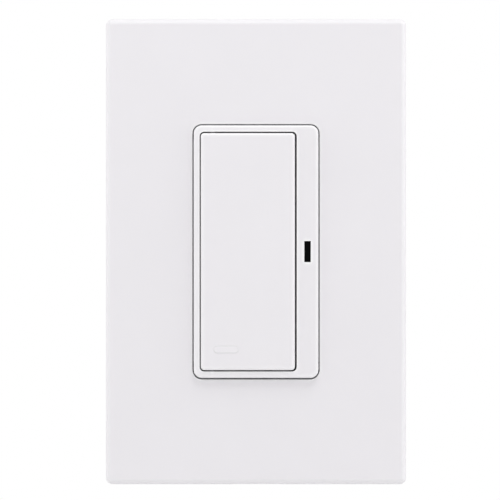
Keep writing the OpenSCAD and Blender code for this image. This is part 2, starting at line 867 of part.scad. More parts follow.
module terminal_pocket_cuts() {
    translate([recess_x, -recess_w / 2, -recess_back])
        cube([recess_depth + cut, recess_w, recess_back - recess_front]);
    for (y = [-wire_offset, wire_offset]) {
        round_post(wire_x, y, wire_hole_r, -housing_depth - cut, -recess_back + cut);
        // Funnel that leads the wire in
        translate([wire_x, y, -housing_depth - cut])
            cylinder(h = funnel_d + cut, r1 = wire_hole_r + funnel_d + cut, r2 = wire_hole_r);
    }
    translate([recess_x - terminal_tip, 0, terminal_z]) rotate([0, 90, 0])
        cylinder(h = terminal_tip + cut, r = terminal_screw_r + tip_bore_clear);
    // Slot for the terminal plate's leg
    translate([recess_x, -terminal_leg_w / 2 - leg_slot_clear, -recess_front - cut])
        cube([terminal_t + leg_slot_clear, terminal_leg_w + 2 * leg_slot_clear, pocket_wall + 2 * cut]);
}

module housing_ridges() {
    // Thin ribs that steady the housing in its box, above and below the terminals and at both ends
    ridge_back = -housing_depth + ridge_margin;
    for (along = [ridge_start : ridge_step : ridge_end])
        both_ends() both_sides()
            centred_box(side_x + ridge_proud - ridge_t / 2, along, ridge_t, ridge_w,
                        ridge_back, -ridge_margin);
    for (along = [-ridge_end_x : ridge_step : ridge_end_x])
        both_ends()
            centred_box(along, housing_h / 2 + ridge_proud - ridge_t / 2, ridge_w, ridge_t,
                        ridge_back, -ridge_margin);
}

module housing_back_cuts() {
    // Bare sunk panel, and the gauge for the length to strip a wire
    rounded_block(panel_w, panel_h, panel_r, -housing_depth - cut, -housing_depth + panel_d);
    centred_box(0, gauge_y, gauge_l, gauge_w, -housing_depth - cut, -housing_depth + gauge_d);
}

module rear_housing() {
    inner_w = housing_w - 2 * housing_wall;
    inner_h = housing_h - 2 * housing_wall;
    color("gainsboro") upright() difference() {
        union() {
            difference() {
                mirror([0, 0, 1]) soft_block(housing_w, housing_h, housing_corner_r, -strap_back,
                                             housing_depth, housing_edge_r);
                rounded_block(inner_w, inner_h, housing_inner_r, -housing_depth + housing_wall, cut);
            }
            housing_ridges();
            both_sides() terminal_pocket();
            both_ends() both_sides() {
                round_post(corner_x, corner_y, corner_tube_r,
                           -housing_depth + housing_wall / 2, strap_back);
                // Ledge under the circuit board
                centred_box(inner_w / 2 - ledge_reach / 2 + cut / 4, ledge_y, ledge_reach + cut / 2,
                            ledge_w, board_back_z - ledge_h, board_back_z);
            }
        }
        both_sides() terminal_pocket_cuts();
        housing_back_cuts();
        both_ends() both_sides() {
            round_post(corner_x, corner_y, corner_screw_r + screw_clear, -housing_depth - cut, cut);
            round_post(corner_x, corner_y, sink_r, -housing_depth - cut, -housing_depth + sink_d);
        }
    }
}

module housing_screw(x, y) {
    head_z = -housing_depth + sink_d;
    upright() translate([x, y, head_z]) rotate([180, 0, 0])
        domed_screw(corner_screw_r, strap_z - corner_tip_gap - head_z,
                    corner_head_r, corner_head_h, corner_slot_w);
}

module housing_screw_1() {
    color("silver") housing_screw(-corner_x, corner_y);
}

module housing_screw_2() {
    color("silver") housing_screw(corner_x, corner_y);
}

module housing_screw_3() {
    color("silver") housing_screw(-corner_x, -corner_y);
}

module housing_screw_4() {
    color("silver") housing_screw(corner_x, -corner_y);
}

module circuit_board() {
    color("darkgreen") upright() difference() {
        centred_box(0, 0, board_w, board_h, board_back_z, board_z);
        both_ends() both_sides()
            round_post(corner_x, corner_y, corner_tube_r + notch_clear, board_back_z - cut, board_z + cut);
    }
}

module tactile_switch_body() {
    top_z = board_z + tact_h;
    bore_z = tact_button_z - tact_button_h - tact_travel_room;
    color("dimgray") upright() difference() {
        centred_box(post_x, 0, tact_w, tact_w, board_z, top_z);
        round_post(post_x, 0, tact_button_r + tact_slide_clear, bore_z, top_z + cut);
    }
}

module tactile_switch_button() {
    color("black") upright()
        round_post(post_x, 0, tact_button_r, tact_button_z - tact_button_h, tact_button_z);
}

module indicator_led() {
    color("ivory") upright()
        centred_box(rail_x, 0, led_size[0], led_size[1], board_z, board_z + led_size[2]);
}

module radio_board() {
    color("navy") upright() centred_box(radio_x, radio_y, radio_board_size[0], radio_board_size[1],
                                        board_z, board_z + radio_board_size[2]);
}

module radio_shield() {
    // Drawn can, open towards the board
    base_z = board_z + radio_board_size[2];
    top_z = base_z + radio_shield_size[2];
    shield_y = radio_y - radio_shield_drop;
    color("silver") upright() difference() {
        centred_box(radio_x, shield_y, radio_shield_size[0], radio_shield_size[1], base_z, top_z);
        centred_box(radio_x, shield_y, radio_shield_size[0] - 2 * shield_wall,
                    radio_shield_size[1] - 2 * shield_wall, base_z - cut, top_z - shield_wall);
    }
}

module controller_chip() {
    color("black") upright()
        centred_box(controller_place[0], controller_place[1], controller_size[0], controller_size[1],
                    board_z, board_z + controller_size[2]);
}

module supply_chip() {
    color("black") upright()
        centred_box(supply_place[0], supply_place[1], supply_size[0], supply_size[1],
                    board_z, board_z + supply_size[2]);
}

module transformer_core() {
    // Two rectangular windows leave a middle limb for the coil
    color("dimgray") upright() difference() {
        centred_box(0, transformer_y, transformer_w, core_d, board_back_z - core_h, board_back_z);
        both_sides() centred_box(core_limb + core_window / 2, transformer_y, core_window, core_d + cut,
                                 board_back_z - core_h + core_yoke, board_back_z - core_yoke);
    }
}

module transformer_coil() {
    limb_w = 2 * (core_limb + coil_clear);
    outer_x = core_limb + core_window - coil_clear;
    color("goldenrod") upright() difference() {
        translate([0, transformer_y, 0])
            rounded_block(2 * outer_x, coil_d, coil_corner_r,
                          board_back_z - core_h + core_yoke + coil_clear,
                          board_back_z - core_yoke - coil_clear);
        centred_box(0, transformer_y, limb_w, core_d + 2 * coil_clear, -housing_depth, board_back_z);
    }
}

module safety_capacitor() {
    color("khaki") upright() translate([safety_cap_x, safety_cap_y, 0])
        rounded_block(safety_cap_size[0], safety_cap_size[1], safety_cap_r,
                      board_back_z - safety_cap_size[2], board_back_z);
}

module storage_capacitor() {
    color("black") upright()
        round_post(storage_cap_x, storage_cap_y, storage_cap_d / 2,
                   board_back_z - storage_cap_l, board_back_z);
}

module surge_varistor() {
    // Round disc on two leads
    drop = varistor_lead_l + varistor_r;
    color("royalblue") upright() translate([0, varistor_y, board_back_z]) {
        translate([0, 0, -drop]) rotate([90, 0, 0])
            cylinder(h = varistor_t, r = varistor_r, center = true);
        both_sides() round_post(varistor_lead_x, 0, varistor_lead_r, -drop, 0);
    }
}

module fuse_resistor() {
    // Lying barrel with its leads bent up to the circuit board
    drop = fuse_r + fuse_gap;
    span = fuse_l + 2 * fuse_lead_l;
    color("tan") upright() translate([0, fuse_y, board_back_z]) {
        translate([0, 0, -drop]) rotate([0, 90, 0]) {
            cylinder(h = fuse_l, r = fuse_r - fuse_waist, center = true);
            cylinder(h = span, r = fuse_lead_r, center = true);
            // End caps
            for (s = [-1, 1]) translate([0, 0, s * (fuse_l - fuse_cap_l) / 2])
                cylinder(h = fuse_cap_l, r = fuse_r, center = true);
        }
        both_sides() round_post(span / 2 - fuse_lead_r, 0, fuse_lead_r, -drop - fuse_lead_r, 0);
    }
}

module rectifier_bridge() {
    color("black") upright() centred_box(bridge_x, bridge_y, bridge_size[0], bridge_size[1],
                                         board_back_z - bridge_size[2], board_back_z);
}

module terminal_plate() {
    // Flat against the recess, with a tapped hole and a leg up to the circuit board
    top_z = terminal_z + terminal_plate_h / 2;
    difference() {
        union() {
            translate([recess_x, -terminal_plate_w / 2, top_z - terminal_plate_h])
                cube([terminal_t, terminal_plate_w, terminal_plate_h]);
            translate([recess_x, -terminal_leg_w / 2, top_z - cut])
                cube([terminal_t, terminal_leg_w, board_back_z - top_z + cut]);
        }
        translate([recess_x - cut, 0, terminal_z]) rotate([0, 90, 0])
            cylinder(h = terminal_t + 2 * cut, r = terminal_screw_r + screw_clear);
    }
}

module wire_clamp() {
    difference() {
        translate([clamp_x, -clamp_w / 2, terminal_z - clamp_h / 2]) cube([clamp_t, clamp_w, clamp_h]);
        translate([clamp_x - cut, 0, terminal_z]) rotate([0, 90, 0])
            cylinder(h = clamp_t + 2 * cut, r = terminal_screw_r + clamp_hole_clear);
        // Grooves that grip the wires
        for (y = [-wire_offset, wire_offset])
            translate([clamp_x, y, terminal_z - clamp_h / 2 - cut])
                cylinder(h = clamp_h + 2 * cut, r = groove_r);
    }
}

module terminal_screw() {
    length = head_x - recess_x + terminal_tip - tip_clear;
    translate([head_x, 0, terminal_z]) rotate([0, 90, 0])
        domed_screw(terminal_screw_r, length, terminal_head_r, terminal_head_h);
}

module line_terminal_plate() {
    color("goldenrod") upright() terminal_plate();
}

module line_wire_clamp() {
    color("goldenrod") upright() wire_clamp();
}

module line_terminal_screw() {
    color("goldenrod") upright() terminal_screw();
}

module neutral_terminal_plate() {
    color("silver") upright() mirror([1, 0, 0]) terminal_plate();
}

module neutral_wire_clamp() {
    color("silver") upright() mirror([1, 0, 0]) wire_clamp();
}

module neutral_terminal_screw() {
    color("silver") upright() mirror([1, 0, 0]) terminal_screw();
}

wallplate_cover();
wallplate_subplate();
subplate_screw_upper();
subplate_screw_lower();
mounting_strap();
box_screw_upper();
box_screw_lower();
screw_retainer_upper();
screw_retainer_lower();
ground_screw();
bezel_frame();
paddle();
paddle_bumper_upper();
paddle_bumper_lower();
indicator_lens();
rear_housing();
housing_screw_1();
housing_screw_2();
housing_screw_3();
housing_screw_4();
circuit_board();
tactile_switch_body();
tactile_switch_button();
indicator_led();
radio_board();
radio_shield();
controller_chip();
supply_chip();
transformer_core();
transformer_coil();
safety_capacitor();
storage_capacitor();
surge_varistor();
fuse_resistor();
rectifier_bridge();
line_terminal_plate();
line_wire_clamp();
line_terminal_screw();
neutral_terminal_plate();
neutral_wire_clamp();
neutral_terminal_screw();
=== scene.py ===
import json
import math

import bmesh
import bpy
from mathutils import Matrix, Vector

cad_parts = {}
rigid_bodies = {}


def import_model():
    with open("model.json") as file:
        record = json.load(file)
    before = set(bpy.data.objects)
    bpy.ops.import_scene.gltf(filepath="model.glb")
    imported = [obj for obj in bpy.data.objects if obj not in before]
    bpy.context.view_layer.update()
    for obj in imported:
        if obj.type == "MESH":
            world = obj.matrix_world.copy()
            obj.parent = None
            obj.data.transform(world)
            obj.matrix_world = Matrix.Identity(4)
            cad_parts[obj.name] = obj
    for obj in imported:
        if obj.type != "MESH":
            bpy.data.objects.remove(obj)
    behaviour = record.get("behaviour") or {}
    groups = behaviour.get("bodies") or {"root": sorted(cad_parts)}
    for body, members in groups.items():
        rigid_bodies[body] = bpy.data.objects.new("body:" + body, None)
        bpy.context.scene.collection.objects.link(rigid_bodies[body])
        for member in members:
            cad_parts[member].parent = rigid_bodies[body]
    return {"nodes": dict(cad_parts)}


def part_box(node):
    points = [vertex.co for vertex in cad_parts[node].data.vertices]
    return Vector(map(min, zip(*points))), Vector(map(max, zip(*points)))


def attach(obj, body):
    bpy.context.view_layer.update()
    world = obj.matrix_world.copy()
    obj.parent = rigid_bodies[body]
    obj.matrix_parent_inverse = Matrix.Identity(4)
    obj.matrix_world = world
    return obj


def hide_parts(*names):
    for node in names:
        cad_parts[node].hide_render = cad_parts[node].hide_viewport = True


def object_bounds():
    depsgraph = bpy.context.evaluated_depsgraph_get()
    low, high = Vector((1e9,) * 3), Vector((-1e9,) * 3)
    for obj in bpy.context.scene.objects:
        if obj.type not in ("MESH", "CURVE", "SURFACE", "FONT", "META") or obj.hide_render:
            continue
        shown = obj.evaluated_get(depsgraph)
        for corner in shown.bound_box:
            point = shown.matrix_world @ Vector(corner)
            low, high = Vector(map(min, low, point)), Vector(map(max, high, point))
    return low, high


bl_info = {
    "name": "Push-pad wall switch",
    "version": (1, 0, 0),
    "blender": (4, 5, 0),
    "location": "View3D > Sidebar > Wall switch",
    "description": "Dresses a packed push-pad wall switch and sets it in a plain studio",
    "category": "Object",
}

for leftover in list(bpy.data.objects):
    bpy.data.objects.remove(leftover)
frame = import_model()
cad_box = [list(corner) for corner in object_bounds()]

MM = 0.001
BODY, PAD, BUTTON = "device", "push_pad", "switch_button"


def colour_prop(name, description, value):
    """A colour that a user can change."""
    return bpy.props.FloatVectorProperty(
        name=name, description=description, default=value, size=3, min=0, max=1, subtype="COLOR"
    )


def length_prop(name, description, value):
    """A length in metres that a user can change."""
    return bpy.props.FloatProperty(
        name=name, description=description, default=value * MM, min=0, precision=5,
        subtype="DISTANCE", unit="LENGTH",
    )


def number_prop(name, description, value):
    """A plain number that a user can change."""
    return bpy.props.FloatProperty(name=name, description=description, default=value)


class SwitchSizes(bpy.types.PropertyGroup):
    """Sizes of the details that the frame leaves to the looks"""

    cover_round: length_prop("Cover edges", "Rounding of the cover's sharp edges", 0.16)
    device_round: length_prop("Device edges", "Rounding of the bezel's and pad's sharp edges", 0.1)
    metal_round: length_prop("Metal edges", "Rounding of the stamped edges", 0.12)
    housing_round: length_prop("Housing edges", "Rounding of the housing's sharp edges", 0.06)
    box_pitch: length_prop("Box screw pitch", "Thread pitch of the box and plate screws", 0.794)
    housing_pitch: length_prop("Housing screw pitch", "Thread pitch of the housing's screws", 1.06)
    terminal_pitch: length_prop("Terminal pitch", "Thread pitch of the terminal screws", 0.8)


class SwitchColours(bpy.types.PropertyGroup):
    """Colours of the finishes"""

    white: colour_prop("White plastic", "Cover, bezel and pad", (0.84, 0.822, 0.85))
    inner_white: colour_prop("Inner plate", "Plate that the cover clips onto", (0.79, 0.785, 0.79))
    grey: colour_prop("Housing", "Rear housing", (0.5, 0.51, 0.52))
    zinc: colour_prop("Zinc plate", "Strap and screws", (0.66, 0.67, 0.69))
    brass: colour_prop("Brass", "Line terminal", (0.74, 0.55, 0.24))
    nickel: colour_prop("Nickel plate", "Neutral terminal", (0.7, 0.69, 0.66))
    green: colour_prop("Green dye", "Ground screw", (0.05, 0.3, 0.12))
    board: colour_prop("Solder mask", "Circuit board", (0.015, 0.14, 0.05))


class StageSettings(bpy.types.PropertyGroup):
    """Camera, floor and lights"""

    distance: bpy.props.FloatProperty(
        name="Distance", description="From the camera to the object", default=5.0, unit="LENGTH"
    )
    picture: bpy.props.FloatProperty(
        name="Picture height", description="What the picture spans at the cover", default=0.13065, unit="LENGTH"
    )
    drop: length_prop("Floor drop", "From the object's lowest point down to the floor", 45)
    reach: bpy.props.FloatProperty(
        name="Floor reach", description="Radius of the round floor", default=0.6, unit="LENGTH"
    )
    ambient: number_prop("Ambient", "Strength of the even light from all round", 0.88)
    rim: number_prop("Rim", "Strength that the light gains towards the sides", 1.55)
    top: number_prop("Top", "Share that the light from all round loses straight above", 0.5)
    key: number_prop("Key lamp", "Power of the large lamp above", 2.4)
    side: number_prop("Side lamp", "Power of the lamp on the right", 0.1)


def sizes():
    return bpy.context.scene.switch_sizes


def colours():
    return bpy.context.scene.switch_colours


# Meshes
def spot(x, up, out):
    """A point given in millimetres across, up the wall and out of it."""
    return Vector((x * MM, -out * MM, up * MM))


def link(name, mesh):
    piece = bpy.data.objects.new(name, mesh)
    bpy.context.collection.objects.link(piece)
    return piece


def baked(piece):
    """Turns a piece with modifiers into a plain mesh."""
    depsgraph = bpy.context.evaluated_depsgraph_get()
    mesh = bpy.data.meshes.new_from_object(piece.evaluated_get(depsgraph))
    piece.modifiers.clear()
    piece.data = mesh
    mesh.name = piece.name
    return piece


def rounded(piece, width, segments=2, angle=32):
    """Rounds the sharp edges of a piece and shades it smooth."""
    bevel = piece.modifiers.new("round", "BEVEL")
    bevel.width = width
    bevel.segments = segments
    bevel.limit_method = "ANGLE"
    bevel.angle_limit = math.radians(angle)
    bevel.use_clamp_overlap = False
    piece.data.shade_smooth()
    normals = piece.modifiers.new("normals", "WEIGHTED_NORMAL")
    normals.keep_sharp = True
    normals.weight = 100
    return baked(piece)


def dressed(node, width, body=BODY, segments=2, merge_flats=True):
    """A merged copy of a CAD node with its sharp edges rounded, which replaces the node."""
    source = frame["nodes"][node]
    mesh = bpy.data.meshes.new(node + "_shape")
    bm = bmesh.new()
    bm.from_mesh(source.data)
    bmesh.ops.remove_doubles(bm, verts=bm.verts, dist=2e-6)
    if merge_flats:
        bmesh.ops.dissolve_limit(bm, angle_limit=math.radians(0.3), verts=bm.verts, edges=bm.edges)
    bm.to_mesh(mesh)
    bm.free()
    if "custom_normal" in mesh.attributes:
        mesh.attributes.remove(mesh.attributes["custom_normal"])
    piece = rounded(link(node + "_shape", mesh), width, segments)
    settle(piece, body)
    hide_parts(node)
    return piece


def settle(piece, body):
    """Lets a piece ride on its body."""
    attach(piece, body)


# Finishes
class Finish:
    """A material with a principled surface, and short calls for the patterns that the finishes share."""

    def __init__(self, name, colour, roughness, metallic=0.0):
        self.material = bpy.data.materials.new(name)
        self.material.use_nodes = True
        self.tree = self.material.node_tree
        self.surface = self.tree.nodes["Principled BSDF"]
        self.set(self.surface, **{"Base Color": (*colour, 1), "Roughness": roughness, "Metallic": metallic})
        self.coords = self.tree.nodes.new("ShaderNodeTexCoord").outputs["Object"]
        self.colour, self.roughness = colour, roughness

    def set(self, node, **values):
        for name, value in values.items():
            if isinstance(value, bpy.types.NodeSocket):
                self.tree.links.new(value, node.inputs[name])
            else:
                node.inputs[name].default_value = value

    def node(self, kind, output=0, options=(), **values):
        made = self.tree.nodes.new("ShaderNode" + kind)
        for name, value in dict(options).items():
            setattr(made, name, value)
        self.set(made, **values)
        return made.outputs[output]

    def maths(self, operation, *values):
        made = self.tree.nodes.new("ShaderNodeMath")
        made.operation = operation
        for socket, value in zip(made.inputs, values):
            if isinstance(value, bpy.types.NodeSocket):
                self.tree.links.new(value, socket)
            else:
                socket.default_value = value
        return made.outputs[0]

    def stretched(self, x=1, y=1, z=1):
        """Object coordinates scaled along the axes."""
        return self.node("Mapping", Vector=self.coords, Scale=(x, y, z))

    def noise(self, scale, detail=3, coords=None):
        return self.node(
            "TexNoise", output="Fac", Vector=coords or self.coords, Scale=scale, Detail=detail, Roughness=0.55
        )

    def cells(self, scale, output="Distance"):
        return self.node("TexVoronoi", output=output, Vector=self.coords, Scale=scale)

    def level(self, value, low, high, start=0.3, end=0.7):
        """Maps a pattern from start..end onto low..high."""
        return self.node(
            "MapRange", output="Result", Value=value,
            **{"From Min": start, "From Max": end, "To Min": low, "To Max": high},
        )

    def blend(self, factor, first, second):
        """Mixes two colours by a pattern."""
        mix = self.tree.nodes.new("ShaderNodeMix")
        mix.data_type = "RGBA"
        self.tree.links.new(factor, mix.inputs[0])
        for socket, value in ((mix.inputs[6], first), (mix.inputs[7], second)):
            if isinstance(value, bpy.types.NodeSocket):
                self.tree.links.new(value, socket)
            else:
                socket.default_value = (*value, 1)
        return mix.outputs[2]

    def tint(self, factor, share):
        """Varies the base colour by a pattern, from share darker to as it is."""
        dark = [part * (1 - share) for part in self.colour]
        self.set(self.surface, **{"Base Color": self.blend(factor, dark, self.colour)})

    def vary(self, pattern, spread):
        """Varies the roughness by a pattern."""
        value = self.level(pattern, self.roughness - spread, self.roughness + spread)
        self.set(self.surface, Roughness=value)

    def bump(self, *heights):
        """Adds bumps of (pattern, depth in metres) on top of each other."""
        normal = None
        for height, depth in heights:
            values = {"Height": height, "Distance": depth, "Strength": 1.0}
            if normal:
                values["Normal"] = normal
            normal = self.node("Bump", **values)
        self.set(self.surface, Normal=normal)


def moulded(name, colour, roughness=0.42, grain=5200, depth=0.000012, share=0.02):
    """Moulded plastic with a fine spark-eroded grain and a faint flow pattern."""
    finish = Finish(name, colour, roughness)
    flow = finish.noise(60, 4)
    fine = finish.noise(grain, 2)
    finish.tint(finish.level(flow, 0, 1), share)
    finish.vary(finish.noise(420, 3), 0.05)
    finish.bump((fine, depth), (flow, 0.00002))
    return finish


def plated(name, colour, roughness=0.32, streaks=(1, 1, 1), depth=0.000006, share=0.14):
    """Plated metal with a cloudy lustre, fine streaks and handling marks."""
    finish = Finish(name, colour, roughness, 1.0)
    cloud = finish.noise(240, 5)
    streak = finish.noise(2600, 3, finish.stretched(*streaks))
    finish.tint(finish.level(cloud, 0, 1), share)
    finish.vary(streak, 0.09)
    finish.bump((streak, depth), (cloud, 0.00001))
    return finish


def white_plastic(name, roughness, coat, shades, edge, lower, pins=None):
    """Satin white plastic with painted shade inside its narrow gaps and a painted highlight on its rounded edges.

    Shades are the painted shades of the gap below the opening, of all the others and of the gap above it, darkest
    below and palest above, as if lit from above.
    Lower is the share of the openness that the gap below the opening keeps, which widens the painted shade there.
    Pins gives the place across of the hinge pins, where the painted shade is partly lifted so that their ends show
    light, and how far up they show.
    """
    finish = moulded(name, colours().white, roughness, 6200, 0.000008, 0.012)
    plain = finish.surface.inputs["Base Color"].links[0].from_socket
    # Occlusion of the narrow gaps drives the painted shade in them.
    crevice = finish.node("AmbientOcclusion", output="AO", options={"samples": 8}.items(), Distance=2.4 * MM)
    # Inside occlusion finds the rounded edges, which get a painted highlight of the edge colour.
    thin = finish.node("AmbientOcclusion", output="AO", options={"samples": 8, "inside": True}.items(),
                       Distance=1.0 * MM)
    plain = finish.blend(finish.level(thin, 1, 0, 0.55, 0.97), plain, (edge, edge, edge))
    parts = finish.node("SeparateXYZ", Vector=finish.coords).node
    # Bands along the opening's lower and upper edges, where the painted shade is darker below and paler above, as if
    # lit from above.
    start, end = 32.2 * MM, 32.8 * MM
    crevice = finish.maths("MULTIPLY", crevice, finish.level(parts.outputs["Z"], lower, 1, -end, -start))
    open_ = finish.level(crevice, 0, 1, 0.3, 0.46)
    # At the hinge pins' ends the painted shade is partly lifted.
    if pins:
        across = finish.maths("COMPARE", parts.outputs["X"], pins[0], 0.65 * MM)
        inside = finish.maths("LESS_THAN", finish.maths("ABSOLUTE", parts.outputs["Z"]), pins[1])
        open_ = finish.maths("MAXIMUM", open_, finish.maths("MULTIPLY", finish.maths("MULTIPLY", across, inside), 0.6))
    # Painted shade of the gaps: darkest along the opening's lower edge, palest along its upper edge.
    low, middle, high = ((shade, shade, shade) for shade in shades)
    painted_gap_shade = finish.blend(finish.level(parts.outputs["Z"], 0, 1, start, end), middle, high)
    painted_gap_shade = finish.blend(finish.level(parts.outputs["Z"], 1, 0, -end, -start), painted_gap_shade, low)
    finish.set(finish.surface, **{"Base Color": finish.blend(open_, painted_gap_shade, plain)})
    finish.set(finish.surface, **{"Subsurface Weight": 0.06, "Subsurface Scale": 0.0008,
                                  "Subsurface Radius": (1.0, 0.95, 0.9), "Coat Weight": coat,
                                  "Coat Roughness": 0.22})
    return finish.material


def inner_plastic():
    return moulded("inner_plastic", colours().inner_white, 0.5, 4200, 0.00002, 0.03).material


def indicator_plastic():
    """Smoked window, glossy, with faint polishing lines."""
    finish = Finish("indicator_plastic", (0.0016, 0.0016, 0.002), 0.16)
    haze = finish.noise(1500, 3, finish.stretched(1, 1, 0.1))
    finish.tint(finish.level(haze, 0, 1), 0.5)
    finish.vary(haze, 0.05)
    finish.bump((haze, 0.000002))
    finish.set(finish.surface, **{"Specular IOR Level": 0.03})
    return finish.material


def bumper_rubber():
    finish = moulded("bumper_rubber", (0.05, 0.05, 0.052), 0.75, 3000, 0.00003, 0.3)
    return finish.material


def zinc_plate():
    return plated("zinc_plate", colours().zinc, 0.34, (1, 1, 0.06)).material


def zinc_screw():
    return plated("zinc_screw", colours().zinc, 0.28, (1, 0.2, 1), 0.000004, 0.1).material


def green_screw():
    """Dyed plating, darker in places."""
    finish = plated("green_screw", colours().green, 0.36, (1, 1, 1), 0.000005, 0.3)
    return finish.material


def brass():
    return plated("brass", colours().brass, 0.3, (0.1, 1, 1), 0.000005, 0.2).material


def nickel():
    return plated("nickel", colours().nickel, 0.27, (0.1, 1, 1), 0.000005, 0.1).material


def pressed_fibre():
    """Red-brown fibre with short crossing hairs."""
    finish = Finish("pressed_fibre", (0.24, 0.1, 0.05), 0.8)
    along = finish.noise(3200, 4, finish.stretched(1, 1, 0.08))
    across = finish.noise(3200, 4, finish.stretched(0.08, 1, 1))
    both = finish.node("Math", options={"operation": "MAXIMUM"}.items(), Value=along)
    finish.tree.links.new(across, both.node.inputs[1])
    finish.tint(finish.level(both, 0, 1, 0.4, 0.7), 0.5)
    finish.vary(both, 0.08)
    finish.bump((both, 0.00004))
    return finish.material


def housing_plastic():
    """Glass-filled housing plastic with a coarser grain and knit marks."""
    finish = moulded("housing_plastic", colours().grey, 0.55, 2600, 0.00003, 0.06)
    return finish.material


def solder_mask(name, colour):
    """Lacquered board: copper tracks run square round their pads and show through the mask as paler lines."""
    finish = Finish(name, colour, 0.25)
    square = finish.node(
        "TexVoronoi", output="Distance", options={"distance": "CHEBYCHEV"}.items(), Vector=finish.coords,
        Scale=140, Randomness=0.85,
    )
    lane = finish.maths("PINGPONG", square, 0.055)
    tracks = finish.level(lane, 0, 1, 0.034, 0.04)
    holes = finish.level(finish.cells(260), 1, 0, 0.06, 0.075)
    copper = finish.maths("MAXIMUM", tracks, holes)
    pale = [min(1, part * 1.9 + 0.02) for part in colour]
    weave = finish.noise(2400, 2)
    finish.set(finish.surface, **{"Base Color": finish.blend(copper, colour, pale), "Coat Weight": 0.4})
    finish.vary(weave, 0.06)
    finish.bump((copper, 0.00003), (weave, 0.000008))
    return finish.material


def ferrite():
    """Ground ferrite: dark, with fine pores."""
    finish = Finish("ferrite", (0.045, 0.045, 0.05), 0.55)
    pores = finish.cells(3800)
    finish.tint(finish.level(pores, 0, 1, 0.0, 0.5), 0.6)
    finish.vary(finish.noise(900), 0.1)
    finish.bump((pores, 0.00002))
    return finish.material


def coil_tape():
    """Wound tape: overlapping bands round the coil."""
    finish = Finish("coil_tape", (0.72, 0.44, 0.05), 0.22)
    bands = finish.node("TexWave", output="Fac", options={"bands_direction": "Y"}.items(),
                        Vector=finish.coords, Scale=90, Distortion=0.6)
    finish.tint(bands, 0.25)
    finish.vary(finish.noise(800), 0.06)
    finish.bump((bands, 0.00004))
    finish.set(finish.surface, **{"Coat Weight": 0.5})
    return finish.material


def glossy_part(name, colour, roughness=0.25, depth=0.000012):
    """Dipped or cast coating of a component, with a slightly uneven skin."""
    finish = Finish(name, colour, roughness)
    skin = finish.noise(520, 3)
    finish.tint(finish.level(skin, 0, 1), 0.15)
    finish.vary(skin, 0.07)
    finish.bump((skin, depth))
    return finish.material


def banded_lacquer():
    """Lacquered resistor with its colour bands, placed along the barrel."""
    finish = Finish("banded_lacquer", (0.5, 0.38, 0.22), 0.3)
    along = finish.node("SeparateXYZ", output="X", Vector=finish.coords)
    colour = finish.blend(finish.noise(700), (0.45, 0.33, 0.18), (0.55, 0.42, 0.26))
    for place, band in ((-2.6, (0.2, 0.06, 0.02)), (-1.2, (0.01, 0.01, 0.01)),
                        (0.2, (0.01, 0.01, 0.01)), (2.6, (0.6, 0.4, 0.08))):
        near = finish.node("Math", options={"operation": "COMPARE"}.items(), Value=along)
        near.node.inputs[1].default_value = place * MM
        near.node.inputs[2].default_value = 0.4 * MM
        colour = finish.blend(near, colour, band)
    finish.set(finish.surface, **{"Base Color": colour})
    finish.vary(finish.noise(500), 0.05)
    finish.bump((finish.noise(400), 0.00001))
    return finish.material


def seen_directly(tree):
    """1 for what the camera, gloss and glass see, and 0 for light that falls on a surface."""
    path = tree.nodes.new("ShaderNodeLightPath")
    seen = path.outputs["Is Camera Ray"]
    for name in ("Is Glossy Ray", "Is Transmission Ray"):
        either = tree.nodes.new("ShaderNodeMath")
        either.operation = "MAXIMUM"
        tree.links.new(seen, either.inputs[0])
        tree.links.new(path.outputs[name], either.inputs[1])
        seen = either.outputs[0]
    return seen


def studio_floor(reach):
    """Pale floor that keeps the shadow near the object and fades into the white background."""
    finish = Finish("studio_floor", (0.86, 0.86, 0.86), 0.7)
    finish.tint(finish.level(finish.noise(6, 3), 0, 1), 0.01)
    away = finish.node("VectorMath", output="Value", options={"operation": "LENGTH"}.items(), Vector=finish.coords)
    fade = finish.level(away, 0, 1, 0.3 * reach, 0.8 * reach)
    share = finish.node("Math", options={"operation": "MULTIPLY"}.items(), Value=fade)
    finish.tree.links.new(seen_directly(finish.tree), share.node.inputs[1])
    glow = finish.tree.nodes.new("ShaderNodeEmission")
    mix = finish.tree.nodes.new("ShaderNodeMixShader")
    output = finish.tree.nodes["Material Output"]
    clear = finish.tree.nodes.new("ShaderNodeBsdfTransparent")
    under = finish.tree.nodes.new("ShaderNodeMixShader")
    facing = finish.tree.nodes.new("ShaderNodeNewGeometry")
    for start, end in ((share, mix.inputs[0]), (finish.surface.outputs[0], mix.inputs[1]),
                       (glow.outputs[0], mix.inputs[2]), (facing.outputs["Backfacing"], under.inputs[0]),
                       (mix.outputs[0], under.inputs[1]), (clear.outputs[0], under.inputs[2]),
                       (under.outputs[0], output.inputs[0])):
        finish.tree.links.new(start, end)
    return finish.material


MADE = {}


def finish_of(maker, *values):
    """Each finish is made once and shared by its pieces."""
    key = (maker.__name__, *values)
    if key not in MADE:
        MADE[key] = maker(*values)
    return MADE[key]


def paint(piece, material):
    """Gives a piece or a CAD node one finish."""
    if not piece.data.materials:
        piece.data.materials.append(material)
    for slot in piece.material_slots:
        slot.material = material


